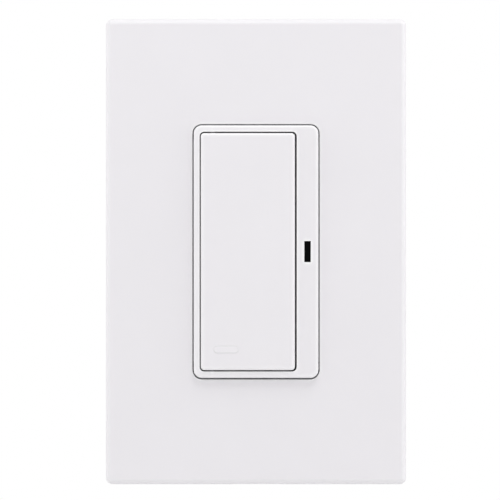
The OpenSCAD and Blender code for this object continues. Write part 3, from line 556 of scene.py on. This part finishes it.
# Geometry Nodes
class Growth:
    """A geometry node tree with named inputs, which ends in Realize Instances and Set Material."""

    def __init__(self, name, **inputs):
        self.tree = bpy.data.node_groups.new(name, "GeometryNodeTree")
        self.ids = {}
        for label, kind in inputs.items():
            socket = self.tree.interface.new_socket(name=label, in_out="INPUT", socket_type="NodeSocket" + kind)
            self.ids[label] = socket.identifier
        self.tree.interface.new_socket(name="Geometry", in_out="OUTPUT", socket_type="NodeSocketGeometry")
        self.given = self.tree.nodes.new("NodeGroupInput").outputs

    def node(self, kind, output=0, options=(), **values):
        made = self.tree.nodes.new(kind)
        for name, value in dict(options).items():
            setattr(made, name, value)
        for name, value in values.items():
            self.feed(made.inputs[name], value)
        return made.outputs[output]

    def feed(self, socket, value):
        if isinstance(value, bpy.types.NodeSocket):
            self.tree.links.new(value, socket)
        else:
            socket.default_value = value

    def math(self, operation, *values):
        made = self.tree.nodes.new("ShaderNodeMath")
        made.operation = operation
        for socket, value in zip(made.inputs, values):
            self.feed(socket, value)
        return made.outputs[0]

    def close(self, geometry):
        real = self.node("GeometryNodeRealizeInstances", Geometry=geometry)
        dressed_up = self.node("GeometryNodeSetMaterial", Geometry=real, Material=self.given["Material"])
        end = self.tree.nodes.new("NodeGroupOutput")
        self.tree.links.new(dressed_up, end.inputs[0])

    def grow(self, name, **values):
        """A plain mesh made by the tree."""
        piece = link(name, bpy.data.meshes.new(name))
        modifier = piece.modifiers.new("grow", "NODES")
        modifier.node_group = self.tree
        for label, value in values.items():
            modifier[self.ids[label]] = value
        return baked(piece)


def thread_tree():
    """A screw's shank from z = 0 down to -Length, its thread cut by a rule round and along it."""
    growth = Growth("thread", Radius="Float", Length="Float", Pitch="Float", Depth="Float", Plain="Float",
                    Rings="Int", Material="Material")
    given, math_ = growth.given, growth.math
    shank = growth.node(
        "GeometryNodeMeshCylinder", output="Mesh",
        **{"Vertices": 28, "Side Segments": given["Rings"], "Radius": given["Radius"], "Depth": given["Length"]},
    )
    place = growth.node("GeometryNodeInputPosition")
    parts = growth.tree.nodes.new("ShaderNodeSeparateXYZ")
    growth.tree.links.new(place, parts.inputs[0])
    x, y, z = parts.outputs
    turn = math_("DIVIDE", math_("ARCTAN2", y, x), 2 * math.pi)
    low = math_("ADD", z, math_("DIVIDE", given["Length"], 2.0))
    phase = math_("FRACT", math_("SUBTRACT", math_("DIVIDE", low, given["Pitch"]), turn))
    ridge = math_("MULTIPLY", math_("PINGPONG", phase, 0.5), 2.0)
    groove = math_("SUBTRACT", 1.0, math_("SMOOTH_MIN", math_("MULTIPLY", ridge, 1.25), 1.0, 0.25))
    down = math_("SUBTRACT", math_("DIVIDE", given["Length"], 2.0), z)
    threaded = math_("GREATER_THAN", down, given["Plain"])
    tip = math_("MULTIPLY", math_("SUBTRACT", 1.0, math_("MINIMUM", math_("DIVIDE", low, given["Pitch"]), 1.0)), 0.35)
    share = math_("DIVIDE", math_("MULTIPLY", math_("MULTIPLY", groove, threaded), given["Depth"]), given["Radius"])
    scale = math_("SUBTRACT", math_("SUBTRACT", 1.0, share), tip)
    moved = growth.tree.nodes.new("ShaderNodeCombineXYZ")
    for axis, value in enumerate((math_("MULTIPLY", x, scale), math_("MULTIPLY", y, scale),
                                  math_("SUBTRACT", low, given["Length"]))):
        growth.tree.links.new(value, moved.inputs[axis])
    growth.close(growth.node("GeometryNodeSetPosition", Geometry=shank, Position=moved.outputs[0]))
    return growth


def row_tree():
    """Equal blocks in a row."""
    growth = Growth("row", Count="Int", Start="Vector", Step="Vector", Size="Vector", Material="Material")
    given = growth.given
    line = growth.node(
        "GeometryNodeMeshLine", **{"Count": given["Count"], "Start Location": given["Start"],
                                   "Offset": given["Step"]},
    )
    block = growth.node("GeometryNodeMeshCube", output="Mesh", Size=given["Size"])
    growth.close(growth.node("GeometryNodeInstanceOnPoints", Points=line, Instance=block))
    return growth


def dome_tree():
    """Low round joints on the points of a line, such as solder on a board."""
    growth = Growth("domes", Count="Int", Start="Vector", Step="Vector", Radius="Float", Height="Float",
                    Turn="Vector", Material="Material")
    given = growth.given
    line = growth.node(
        "GeometryNodeMeshLine", **{"Count": given["Count"], "Start Location": given["Start"],
                                   "Offset": given["Step"]},
    )
    dome = growth.node(
        "GeometryNodeMeshCone", output="Mesh",
        **{"Vertices": 16, "Side Segments": 3, "Radius Top": growth.math("MULTIPLY", given["Radius"], 0.3),
           "Radius Bottom": given["Radius"], "Depth": given["Height"]},
    )
    growth.close(growth.node("GeometryNodeInstanceOnPoints", Points=line, Instance=dome, Rotation=given["Turn"]))
    return growth


def bead_tree():
    """A bead that follows a rectangle with round corners."""
    growth = Growth("bead", Width="Float", Height="Float", Corner="Float", Thick="Float", Material="Material")
    given = growth.given
    path = growth.node("GeometryNodeCurvePrimitiveQuadrilateral", Width=given["Width"], Height=given["Height"])
    fillet = growth.tree.nodes.new("GeometryNodeFilletCurve")
    fillet.mode = "POLY"
    fillet.inputs["Count"].default_value = 8
    growth.feed(fillet.inputs["Curve"], path)
    growth.feed(fillet.inputs["Radius"], given["Corner"])
    ring = growth.node("GeometryNodeCurvePrimitiveCircle", Resolution=8, Radius=given["Thick"])
    growth.close(growth.node("GeometryNodeCurveToMesh", **{"Curve": fillet.outputs[0], "Profile Curve": ring}))
    return growth


def tree(maker):
    return finish_of(maker)


def row(name, count, start, step, size, finish, round_=0.04, body=BODY):
    """Equal blocks in a row; places, steps and sizes are millimetres across, up and out."""
    piece = tree(row_tree).grow(
        name, Count=count, Start=spot(*start), Step=spot(*step),
        Size=Vector((size[0], size[2], size[1])) * MM, Material=finish,
    )
    if round_:
        rounded(piece, round_ * MM, 1, 40)
    settle(piece, body)
    return piece


# Shared shapes
def lathe(name, outline, steps=48):
    """Spins an outline of (radius, height) points round the z axis."""
    bm = bmesh.new()
    rings = []
    for radius, height in outline:
        if radius < 1e-9:
            rings.append([bm.verts.new((0, 0, height))])
            continue
        angles = [2 * math.pi * step / steps for step in range(steps)]
        rings.append([bm.verts.new((radius * math.cos(a), radius * math.sin(a), height)) for a in angles])
    for low, high in zip(rings, rings[1:]):
        for step in range(steps):
            after = (step + 1) % steps
            corners = []
            for ring, index in ((low, step), (low, after), (high, after), (high, step)):
                vert = ring[index % len(ring)]
                if vert not in corners:
                    corners.append(vert)
            if len(corners) > 2:
                bm.faces.new(corners)
    bmesh.ops.recalc_face_normals(bm, faces=bm.faces)
    mesh = bpy.data.meshes.new(name)
    bm.to_mesh(mesh)
    bm.free()
    return link(name, mesh)


def cut_by(piece, *tools):
    """Cuts the tools out of a piece."""
    for tool in tools:
        cutter = piece.modifiers.new("cut", "BOOLEAN")
        cutter.operation = "DIFFERENCE"
        cutter.solver = "EXACT"
        cutter.object = tool
    baked(piece)
    for tool in tools:
        bpy.data.objects.remove(tool)
    return piece


def block(name, size, middle=(0, 0, 0)):
    """A block with a mesh of its own, in metres."""
    bm = bmesh.new()
    bmesh.ops.create_cube(bm, size=1, matrix=Matrix.Translation(middle) @ Matrix.Diagonal((*size, 1)))
    mesh = bpy.data.meshes.new(name)
    bm.to_mesh(mesh)
    bm.free()
    return link(name, mesh)


def joined(name, pieces):
    """One piece from several."""
    with bpy.context.temp_override(active_object=pieces[0], object=pieces[0], selected_editable_objects=pieces,
                                   selected_objects=pieces):
        bpy.ops.object.join()
    pieces[0].name = name
    pieces[0].data.name = name
    return pieces[0]


def arc_points(middle, radius, start, end, steps):
    """Points of an arc in the outline of a lathe, angles in degrees."""
    for step in range(steps + 1):
        a = math.radians(start + (end - start) * step / steps)
        yield middle[0] + radius * math.cos(a), middle[1] + radius * math.sin(a)


def screw_head(name, radius, height, slot=0.9, cross=0.75):
    """Domed head on z = 0, with a soft rim and a slot crossed by a pointed recess."""
    rim = 0.4 * height
    dome = height - rim
    ball = (radius * radius + dome * dome) / (2 * dome)
    spread = math.degrees(math.asin(radius / ball))
    soft = 0.12 * MM
    outline = [(0, 0), (radius - soft, 0)]
    outline += arc_points((radius - soft, soft), soft, -90, 0, 3)
    outline += arc_points((radius - soft, rim - soft / 2), soft, 0, 60, 3)
    outline += list(arc_points((0, height - ball), ball, 90 - spread * 0.96, 90, 10))
    head = lathe(name, outline)
    depth = 0.55 * height
    tools = [block("slot", (2.4 * radius, slot * MM, depth), (0, 0, height - depth / 2 + 0.00002))]
    if cross:
        arm = 1.15 * radius
        tools.append(block("arm", (slot * MM * 0.9, arm, depth), (0, 0, height - depth / 2 + 0.00003)))
        pit = lathe("pit", [(0, height - 0.75 * height), (0.36 * radius, height + 0.00005), (0, height + 0.00005)], 4)
        tools.append(pit)
    return cut_by(head, *tools)


def screw(node, matrix, radius, length, head_radius, head_height, pitch, finish, plain=0.0, slot=0.9):
    """A machine screw with its thread, which replaces a CAD screw. The matrix stands it in place."""
    head = rounded(screw_head(node + "_head", head_radius, head_height, slot), 0.05 * MM, 2, 40)
    shank = tree(thread_tree).grow(
        node + "_shank", Radius=radius, Length=length, Pitch=pitch, Depth=0.16 * radius + 0.06 * pitch,
        Plain=plain, Rings=int(length / pitch * 8), Material=finish,
    )
    shank.data.shade_smooth()
    shank.data.set_sharp_from_angle(angle=math.radians(50))
    paint(head, finish)
    piece = joined(node + "_shape", [head, shank])
    piece.data.transform(matrix)
    settle(piece, BODY)
    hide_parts(node)
    return piece


def standing(x, up, out, direction):
    """Stands a shape that points along +z so that it points along a direction, on a point in millimetres."""
    turn = Vector((0, 0, 1)).rotation_difference(Vector(direction)).to_matrix().to_4x4()
    return Matrix.Translation(spot(x, up, out)) @ turn


def middle_of(node):
    low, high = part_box(node)
    return (low + high) / 2


# Pieces
class DressCover(bpy.types.Operator):
    """Rounds the fine edges of the wall plate and its inner plate"""

    bl_idname = "switch.dress_cover"
    bl_label = "Wall plate"

    def execute(self, context):
        cover = dressed("wallplate_cover", sizes().cover_round)
        # The cover's white gets painted shade in its gaps, darkest below the opening and palest above it, and a
        # painted highlight on its edges.
        paint(cover, finish_of(white_plastic, "cover_white", 0.5, 0.0, (0.02, 0.34, 0.8), 0.9, 0.75))
        plate = dressed("wallplate_subplate", sizes().device_round)
        paint(plate, finish_of(inner_plastic))
        return {"FINISHED"}


class DressDevice(bpy.types.Operator):
    """Rounds the fine edges of the bezel and the pad"""

    bl_idname = "switch.dress_device"
    bl_label = "Bezel and pad"

    def execute(self, context):
        bezel = dressed("bezel_frame", sizes().device_round)
        low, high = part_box("paddle")
        # The device's white gets dark painted shade in its gaps, paler above the opening and lifted at the hinge pins,
        # and a painted highlight on its edges.
        white = finish_of(white_plastic, "device_white", 0.34, 0.5, (0.012, 0.012, 0.75), 0.99, 1,
                          (low.x + 3 * MM, high.z - 1 * MM))
        paint(bezel, white)
        pad = dressed("paddle", sizes().device_round, PAD)
        paint(pad, white)
        lens = dressed("indicator_lens", 0.06 * MM)
        paint(lens, finish_of(indicator_plastic))
        for name in ("paddle_bumper_upper", "paddle_bumper_lower"):
            paint(dressed(name, 0.3 * MM, segments=3), finish_of(bumper_rubber))
        return {"FINISHED"}


class DressStrap(bpy.types.Operator):
    """Softens the stamped strap and its retaining washers"""

    bl_idname = "switch.dress_strap"
    bl_label = "Strap"

    def execute(self, context):
        strap = dressed("mounting_strap", sizes().metal_round)
        paint(strap, finish_of(zinc_plate))
        for name in ("screw_retainer_upper", "screw_retainer_lower"):
            paint(dressed(name, 0.06 * MM), finish_of(pressed_fibre))
        return {"FINISHED"}


class MakeScrews(bpy.types.Operator):
    """Makes the threaded screws of the box, the plate, the housing and the ground"""

    bl_idname = "switch.make_screws"
    bl_label = "Screws"

    def execute(self, context):
        zinc = finish_of(zinc_screw)
        pitch = sizes().box_pitch
        for name, radius, head_radius, head_height in (
            ("box_screw_upper", 1.75, 3.5, 1.8), ("box_screw_lower", 1.75, 3.5, 1.8),
            ("subplate_screw_upper", 1.75, 2.9, 1.5), ("subplate_screw_lower", 1.75, 2.9, 1.5),
        ):
            low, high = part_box(name)
            seat = low.y + head_height * MM
            if name.startswith("box"):
                seat = -1.3 * MM
            else:
                seat = -2.9 * MM
            length = high.y - seat
            matrix = standing(0, (low.z + high.z) / 2 / MM, -seat / MM, (0, -1, 0))
            screw(name, matrix, radius * MM, length, head_radius * MM, head_height * MM, pitch, zinc,
                  plain=2.6 * MM if name.startswith("box") else 0.0)
        for index in range(1, 5):
            name = f"housing_screw_{index}"
            low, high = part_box(name)
            seat = high.y - 1.6 * MM
            middle = (low + high) / 2
            matrix = standing(middle.x / MM, middle.z / MM, -seat / MM, (0, 1, 0))
            screw(name, matrix, 1.4 * MM, seat - low.y, 2.5 * MM, 1.6 * MM, sizes().housing_pitch, zinc,
                  plain=16 * MM, slot=0.7)
        low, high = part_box("ground_screw")
        seat = low.z + 2.2 * MM
        middle = (low + high) / 2
        matrix = standing(middle.x / MM, seat / MM, -middle.y / MM, (0, 0, -1))
        screw("ground_screw", matrix, 2 * MM, high.z - seat, 3.9 * MM, 2.2 * MM, sizes().terminal_pitch,
              finish_of(green_screw))
        return {"FINISHED"}


class DressHousing(bpy.types.Operator):
    """Rounds the housing and adds the bead of its mould's parting line"""

    bl_idname = "switch.dress_housing"
    bl_label = "Housing"

    def execute(self, context):
        grey = finish_of(housing_plastic)
        housing = dressed("rear_housing", sizes().housing_round, merge_flats=False)
        paint(housing, grey)
        low, high = (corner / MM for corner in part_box("rear_housing"))
        ridge = 0.3
        bead = tree(bead_tree).grow(
            "parting_bead", Width=(high.x - low.x - 2 * ridge) * MM, Height=(high.z - low.z - 2 * ridge) * MM,
            Corner=3 * MM, Thick=0.16 * MM, Material=grey,
        )
        bead.data.transform(standing(0, 0, -3.4, (0, 1, 0)))
        bead.data.shade_smooth()
        settle(bead, BODY)
        return {"FINISHED"}


class DressTerminals(bpy.types.Operator):
    """Makes the terminals' screws and softens their plates and clamps"""

    bl_idname = "switch.dress_terminals"
    bl_label = "Terminals"

    def execute(self, context):
        for side, sign, finish, slot_name in (
            ("line", 1, finish_of(brass), "brass_terminal"),
            ("neutral", -1, finish_of(nickel), "nickel_terminal"),
        ):
            for part in ("terminal_plate", "wire_clamp"):
                paint(dressed(f"{side}_{part}", 0.1 * MM), finish)
            name = f"{side}_terminal_screw"
            low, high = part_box(name)
            outer, inner = (high.x, low.x) if sign > 0 else (low.x, high.x)
            seat = outer - sign * 2.2 * MM
            middle = (low + high) / 2
            matrix = standing(seat / MM, middle.z / MM, -middle.y / MM, (sign, 0, 0))
            screw(name, matrix, 2 * MM, abs(seat - inner), 3.9 * MM, 2.2 * MM, sizes().terminal_pitch,
                  finish)
        return {"FINISHED"}


class DressBoard(bpy.types.Operator):
    """Dresses the circuit board and everything that stands on it"""

    bl_idname = "switch.dress_board"
    bl_label = "Circuit board"

    def execute(self, context):
        mask = finish_of(solder_mask, "board_mask", tuple(colours().board))
        radio_mask = finish_of(solder_mask, "radio_mask", (0.012, 0.03, 0.14))
        chip = finish_of(glossy_part, "chip_epoxy", (0.022, 0.022, 0.024), 0.5)
        finishes = {
            "circuit_board": mask,
            "radio_board": radio_mask,
            "radio_shield": finish_of(nickel),
            "tactile_switch_body": chip,
            "tactile_switch_button": finish_of(bumper_rubber),
            "indicator_led": finish_of(glossy_part, "led_epoxy", (0.78, 0.74, 0.5), 0.15),
            "controller_chip": chip,
            "supply_chip": chip,
            "rectifier_bridge": chip,
            "transformer_core": finish_of(ferrite),
            "transformer_coil": finish_of(coil_tape),
            "safety_capacitor": finish_of(glossy_part, "film_box", (0.66, 0.42, 0.06), 0.4),
            "storage_capacitor": finish_of(glossy_part, "sleeve", (0.02, 0.022, 0.05), 0.2),
            "surge_varistor": finish_of(glossy_part, "varistor_dip", (0.02, 0.09, 0.34), 0.3, 0.00004),
            "fuse_resistor": finish_of(banded_lacquer),
        }
        made = {"storage_capacitor": self.can, "surge_varistor": self.disc, "fuse_resistor": self.barrel}
        for node, material in finishes.items():
            if node in made:
                piece = made[node](node, material)
                settle(piece, BODY)
                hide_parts(node)
                continue
            piece = dressed(node, self.edges.get(node, 0.1) * MM, BUTTON if node == "tactile_switch_button" else BODY)
            paint(piece, material)
        self.legs(finish_of(nickel))
        self.solder(finish_of(nickel))
        self.small_parts(chip, finish_of(glossy_part, "film_box", (0.66, 0.42, 0.06), 0.4))
        return {"FINISHED"}

    edges = {"safety_capacitor": 0.4, "transformer_coil": 0.3, "transformer_core": 0.15, "rectifier_bridge": 0.2,
             "radio_shield": 0.15}

    def can(self, node, material):
        """Capacitor can with the groove of its crimp near the board and a bare end."""
        low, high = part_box(node)
        radius, length = (high.x - low.x) / 2, high.y - low.y
        waist, soft = 0.92 * radius, 0.8 * MM
        outline = [(0, 0), (radius - 0.4 * MM, 0), (radius, 0.4 * MM), (radius, 1.5 * MM), (waist, 2 * MM),
                   (radius, 2.6 * MM)]
        outline += arc_points((radius - soft, length - soft), soft, 0, 90, 6)
        outline += [(0.8 * radius, length), (0.78 * radius, length - 0.2 * MM)]
        can = lathe(node + "_can", outline)
        end = lathe(node + "_end", [(0.78 * radius, length - 0.2 * MM), (0, length - 0.2 * MM)])
        end.data.flip_normals()
        paint(can, material)
        paint(end, finish_of(nickel))
        piece = joined(node + "_shape", [can, end])
        middle = (low + high) / 2
        piece.data.transform(standing(middle.x / MM, middle.z / MM, -low.y / MM, (0, 1, 0)))
        self.soften(piece)
        return piece

    def disc(self, node, material):
        """Dipped disc on two leads."""
        low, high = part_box(node)
        radius, half, soft = (high.x - low.x) / 2, (high.z - low.z) / 2, 0.9 * MM
        outline = [(0, -half), *arc_points((radius - soft, soft - half), soft, -90, 0, 5),
                   *arc_points((radius - soft, half - soft), soft, 0, 90, 5), (0, half)]
        disc = lathe(node + "_disc", outline)
        middle = (low + high) / 2
        disc.data.transform(Matrix.Translation((middle.x, high.y - radius, middle.z)))
        paint(disc, material)
        pieces = [disc]
        for x in (-2.5 * MM, 2.5 * MM):
            pieces.append(self.lead(node, [(x, low.y, middle.z), (x, high.y - radius, middle.z)], 0.4 * MM))
        piece = joined(node + "_shape", pieces)
        self.soften(piece)
        return piece

    def barrel(self, node, material):
        """Lacquered barrel with swollen ends on two bent leads."""
        low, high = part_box(node)
        radius, wire = (high.z - low.z) / 2, 0.35 * MM
        half, waist = 4.5 * MM, (high.z - low.z) / 2 - 0.25 * MM
        right = [(waist, 2.4 * MM), (radius, 3.2 * MM), (radius, 4.0 * MM), (0.8 * radius, half), (0, half)]
        outline = [(r, -z) for r, z in reversed(right)] + right
        barrel = lathe(node + "_barrel", outline)
        middle = (low + high) / 2
        place = Vector((middle.x, high.y - radius, middle.z))
        turn = Vector((0, 0, 1)).rotation_difference(Vector((1, 0, 0))).to_matrix().to_4x4()
        barrel.data.transform(Matrix.Translation(place) @ turn)
        paint(barrel, material)
        pieces = [barrel]
        for side in (-1, 1):
            end = place.x + side * ((high.x - low.x) / 2 - wire)
            bend = 0.5 * MM
            path = [(place.x + side * (half - bend), place.y, place.z), (end - side * bend, place.y, place.z),
                    (end - side * 0.3 * bend, place.y - 0.3 * bend, place.z), (end, place.y - bend, place.z),
                    (end, low.y, place.z)]
            pieces.append(self.lead(node, path, wire))
        piece = joined(node + "_shape", pieces)
        self.soften(piece)
        return piece

    def lead(self, node, path, radius):
        """A tinned wire along a path."""
        curve = bpy.data.curves.new(node + "_lead", "CURVE")
        curve.dimensions = "3D"
        curve.bevel_depth = radius
        curve.bevel_resolution = 4
        curve.use_fill_caps = True
        spline = curve.splines.new("POLY")
        spline.points.add(len(path) - 1)
        for point, place in zip(spline.points, path):
            point.co = (*place, 1)
        wire = link(node + "_lead", curve)
        mesh = bpy.data.meshes.new_from_object(wire.evaluated_get(bpy.context.evaluated_depsgraph_get()))
        bpy.data.objects.remove(wire)
        piece = link(node + "_lead", mesh)
        paint(piece, finish_of(nickel))
        return piece

    def soften(self, piece):
        piece.data.shade_smooth()
        piece.data.set_sharp_from_angle(angle=math.radians(40))

    def legs(self, metal):
        """Legs along the sides of the chips and the radio board."""
        for node, count, step, both in (("controller_chip", 8, 0.65, True), ("supply_chip", 4, 1.1, False),
                                        ("radio_board", 12, 1.3, False)):
            low, high = (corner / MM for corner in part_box(node))
            out = -high.y + 0.1
            middle = (low + high) / 2
            half = (count - 1) * step / 2
            for side, x in (("left", low.x - 0.2), ("right", high.x + 0.2)):
                row(f"{node}_legs_{side}", count, (x, middle.z - half, out), (0, step, 0), (0.7, 0.28, 0.18),
                    metal, 0)
            if both:
                for side, up in (("lower", low.z - 0.2), ("upper", high.z + 0.2)):
                    row(f"{node}_legs_{side}", count, (middle.x - half, up, out), (step, 0, 0),
                        (0.28, 0.7, 0.18), metal, 0)

    def solder(self, metal):
        """Soldered joints on the board's front, over the leads of the parts behind it."""
        front = -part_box("circuit_board")[0].y / MM
        for node, count, spread, across in (
            ("safety_capacitor", 2, 10, True), ("storage_capacitor", 2, 5, True), ("surge_varistor", 2, 5, True),
            ("fuse_resistor", 2, 11, True), ("rectifier_bridge", 4, 1.9, False), ("transformer_coil", 4, 3, True),
        ):
            low, high = (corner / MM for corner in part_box(node))
            middle = (low + high) / 2
            step = spread / (count - 1) if across else spread
            half = (count - 1) * step / 2
            start = (middle.x - half, middle.z, front) if across else (middle.x, middle.z - half, front)
            joints = tree(dome_tree).grow(
                node + "_joints", Count=count, Start=spot(*start),
                Step=spot(step, 0, 0) if across else spot(0, step, 0), Radius=0.9 * MM, Height=0.6 * MM,
                Turn=Vector((math.radians(90), 0, 0)), Material=metal,
            )
            joints.data.shade_smooth()
            settle(joints, BODY)

    def small_parts(self, dark, tan):
        """Rows of small parts on the board's front."""
        front = -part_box("circuit_board")[0].y / MM
        for name, count, start, step, size, material in (
            ("small_resistors_1", 5, (-14, -13, front + 0.25), (0, 3, 0), (1.7, 0.9, 0.5), dark),
            ("small_resistors_2", 4, (11.5, -16, front + 0.25), (0, 3, 0), (0.9, 1.7, 0.5), dark),
            ("small_capacitors_1", 3, (-14, 12, front + 0.35), (0, 3.2, 0), (1.7, 0.9, 0.7), tan),
            ("small_capacitors_2", 3, (1, -26, front + 0.35), (2.6, 0, 0), (0.9, 1.7, 0.7), tan),
        ):
            row(name, count, start, step, size, material, 0.08)


class SetStage(bpy.types.Operator):
    """Sets the camera, the floor, the backdrop and the lights"""

    bl_idname = "switch.set_stage"
    bl_label = "Stage"

    def execute(self, context):
        settings = context.scene.stage_settings
        self.look(context, settings)
        self.ground(settings)
        self.lamps(context, settings)
        return {"FINISHED"}

    def look(self, context, settings):
        """A long lens, straight on, with the object 6 pixels right of the picture's middle."""
        camera = bpy.data.objects.new("camera", bpy.data.cameras.new("camera"))
        bpy.context.collection.objects.link(camera)
        camera.location = (0, -settings.distance, 0)
        camera.rotation_euler = (math.radians(90), 0, 0)
        front = settings.distance + cad_box[0][1]
        camera.data.sensor_width = 36
        camera.data.lens = 36 * front / settings.picture
        camera.data.shift_x = -6.05 / 500
        camera.data.shift_y = 1.6 / 500
        context.scene.camera = camera

    def ground(self, settings):
        """A round floor, low enough that the straight view passes over its far edge."""
        level = cad_box[0][2] - settings.drop
        floor = lathe("floor", [(0, level), (settings.reach, level)])
        floor.data.flip_normals()
        paint(floor, finish_of(studio_floor, settings.reach))

    def tent(self, tree, settings):
        """Light from all round, stronger from the sides than from the front, the back and above."""
        parts = tree.nodes.new("ShaderNodeSeparateXYZ")
        tree.links.new(tree.nodes.new("ShaderNodeTexCoord").outputs["Generated"], parts.inputs[0])

        def step(operation, first, second=0.0):
            made = tree.nodes.new("ShaderNodeMath")
            made.operation = operation
            for socket, value in zip(made.inputs, (first, second)):
                if isinstance(value, bpy.types.NodeSocket):
                    tree.links.new(value, socket)
                else:
                    socket.default_value = value
            return made.outputs[0]

        aside = step("POWER", step("SUBTRACT", 1.0, step("ABSOLUTE", parts.outputs["Y"])), 3.0)
        above = step("MULTIPLY", step("MAXIMUM", parts.outputs["Z"], 0.0), settings.top)
        even = step("ADD", step("MULTIPLY", aside, settings.rim), settings.ambient)
        return step("MULTIPLY", even, step("SUBTRACT", 1.0, above))

    def lamps(self, context, settings):
        world = bpy.data.worlds.new("studio")
        world.use_nodes = True
        tree = world.node_tree
        background = tree.nodes["Background"]
        background.inputs["Color"].default_value = (1, 1, 1, 1)
        strength = tree.nodes.new("ShaderNodeMapRange")
        tree.links.new(self.tent(tree, settings), strength.inputs["To Min"])
        tree.links.new(seen_directly(tree), strength.inputs["Value"])
        tree.links.new(strength.outputs[0], background.inputs["Strength"])
        context.scene.world = world
        for name, power, size, place in (
            ("key", settings.key, 0.45, (0.12, -0.5, 0.85)),
            ("side", settings.side, 0.35, (0.8, -0.3, 0.1)),
        ):
            light = bpy.data.lights.new(name, "AREA")
            light.energy = power
            light.size = size
            lamp = bpy.data.objects.new(name, light)
            bpy.context.collection.objects.link(lamp)
            lamp.location = place
            lamp.rotation_euler = (-Vector(place)).to_track_quat("-Z", "Y").to_euler()
        context.scene.view_settings.view_transform = "Standard"


OPERATORS = (
    SetStage, DressCover, DressDevice, DressStrap, MakeScrews, DressHousing, DressTerminals, DressBoard,
)


class SwitchPanel(bpy.types.Panel):
    """Lists the pieces of the wall switch"""

    bl_idname = "VIEW3D_PT_wall_switch"
    bl_label = "Wall switch"
    bl_space_type = "VIEW_3D"
    bl_region_type = "UI"
    bl_category = "Wall switch"

    def draw(self, context):
        for operator in OPERATORS:
            self.layout.operator(operator.bl_idname)
        for group in (context.scene.switch_sizes, context.scene.switch_colours, context.scene.stage_settings):
            column = self.layout.column()
            for name in group.__annotations__:
                column.prop(group, name)


GROUPS = {"switch_sizes": SwitchSizes, "switch_colours": SwitchColours, "stage_settings": StageSettings}


def register():
    for item in (*GROUPS.values(), *OPERATORS, SwitchPanel):
        bpy.utils.register_class(item)
    for name, group in GROUPS.items():
        setattr(bpy.types.Scene, name, bpy.props.PointerProperty(type=group))


def unregister():
    for name in GROUPS:
        delattr(bpy.types.Scene, name)
    for item in (SwitchPanel, *reversed(OPERATORS), *GROUPS.values()):
        bpy.utils.unregister_class(item)


def main():
    register()
    for operator in OPERATORS:
        group, call = operator.bl_idname.split(".")
        getattr(getattr(bpy.ops, group), call)()


if __name__ == "__main__":
    main()
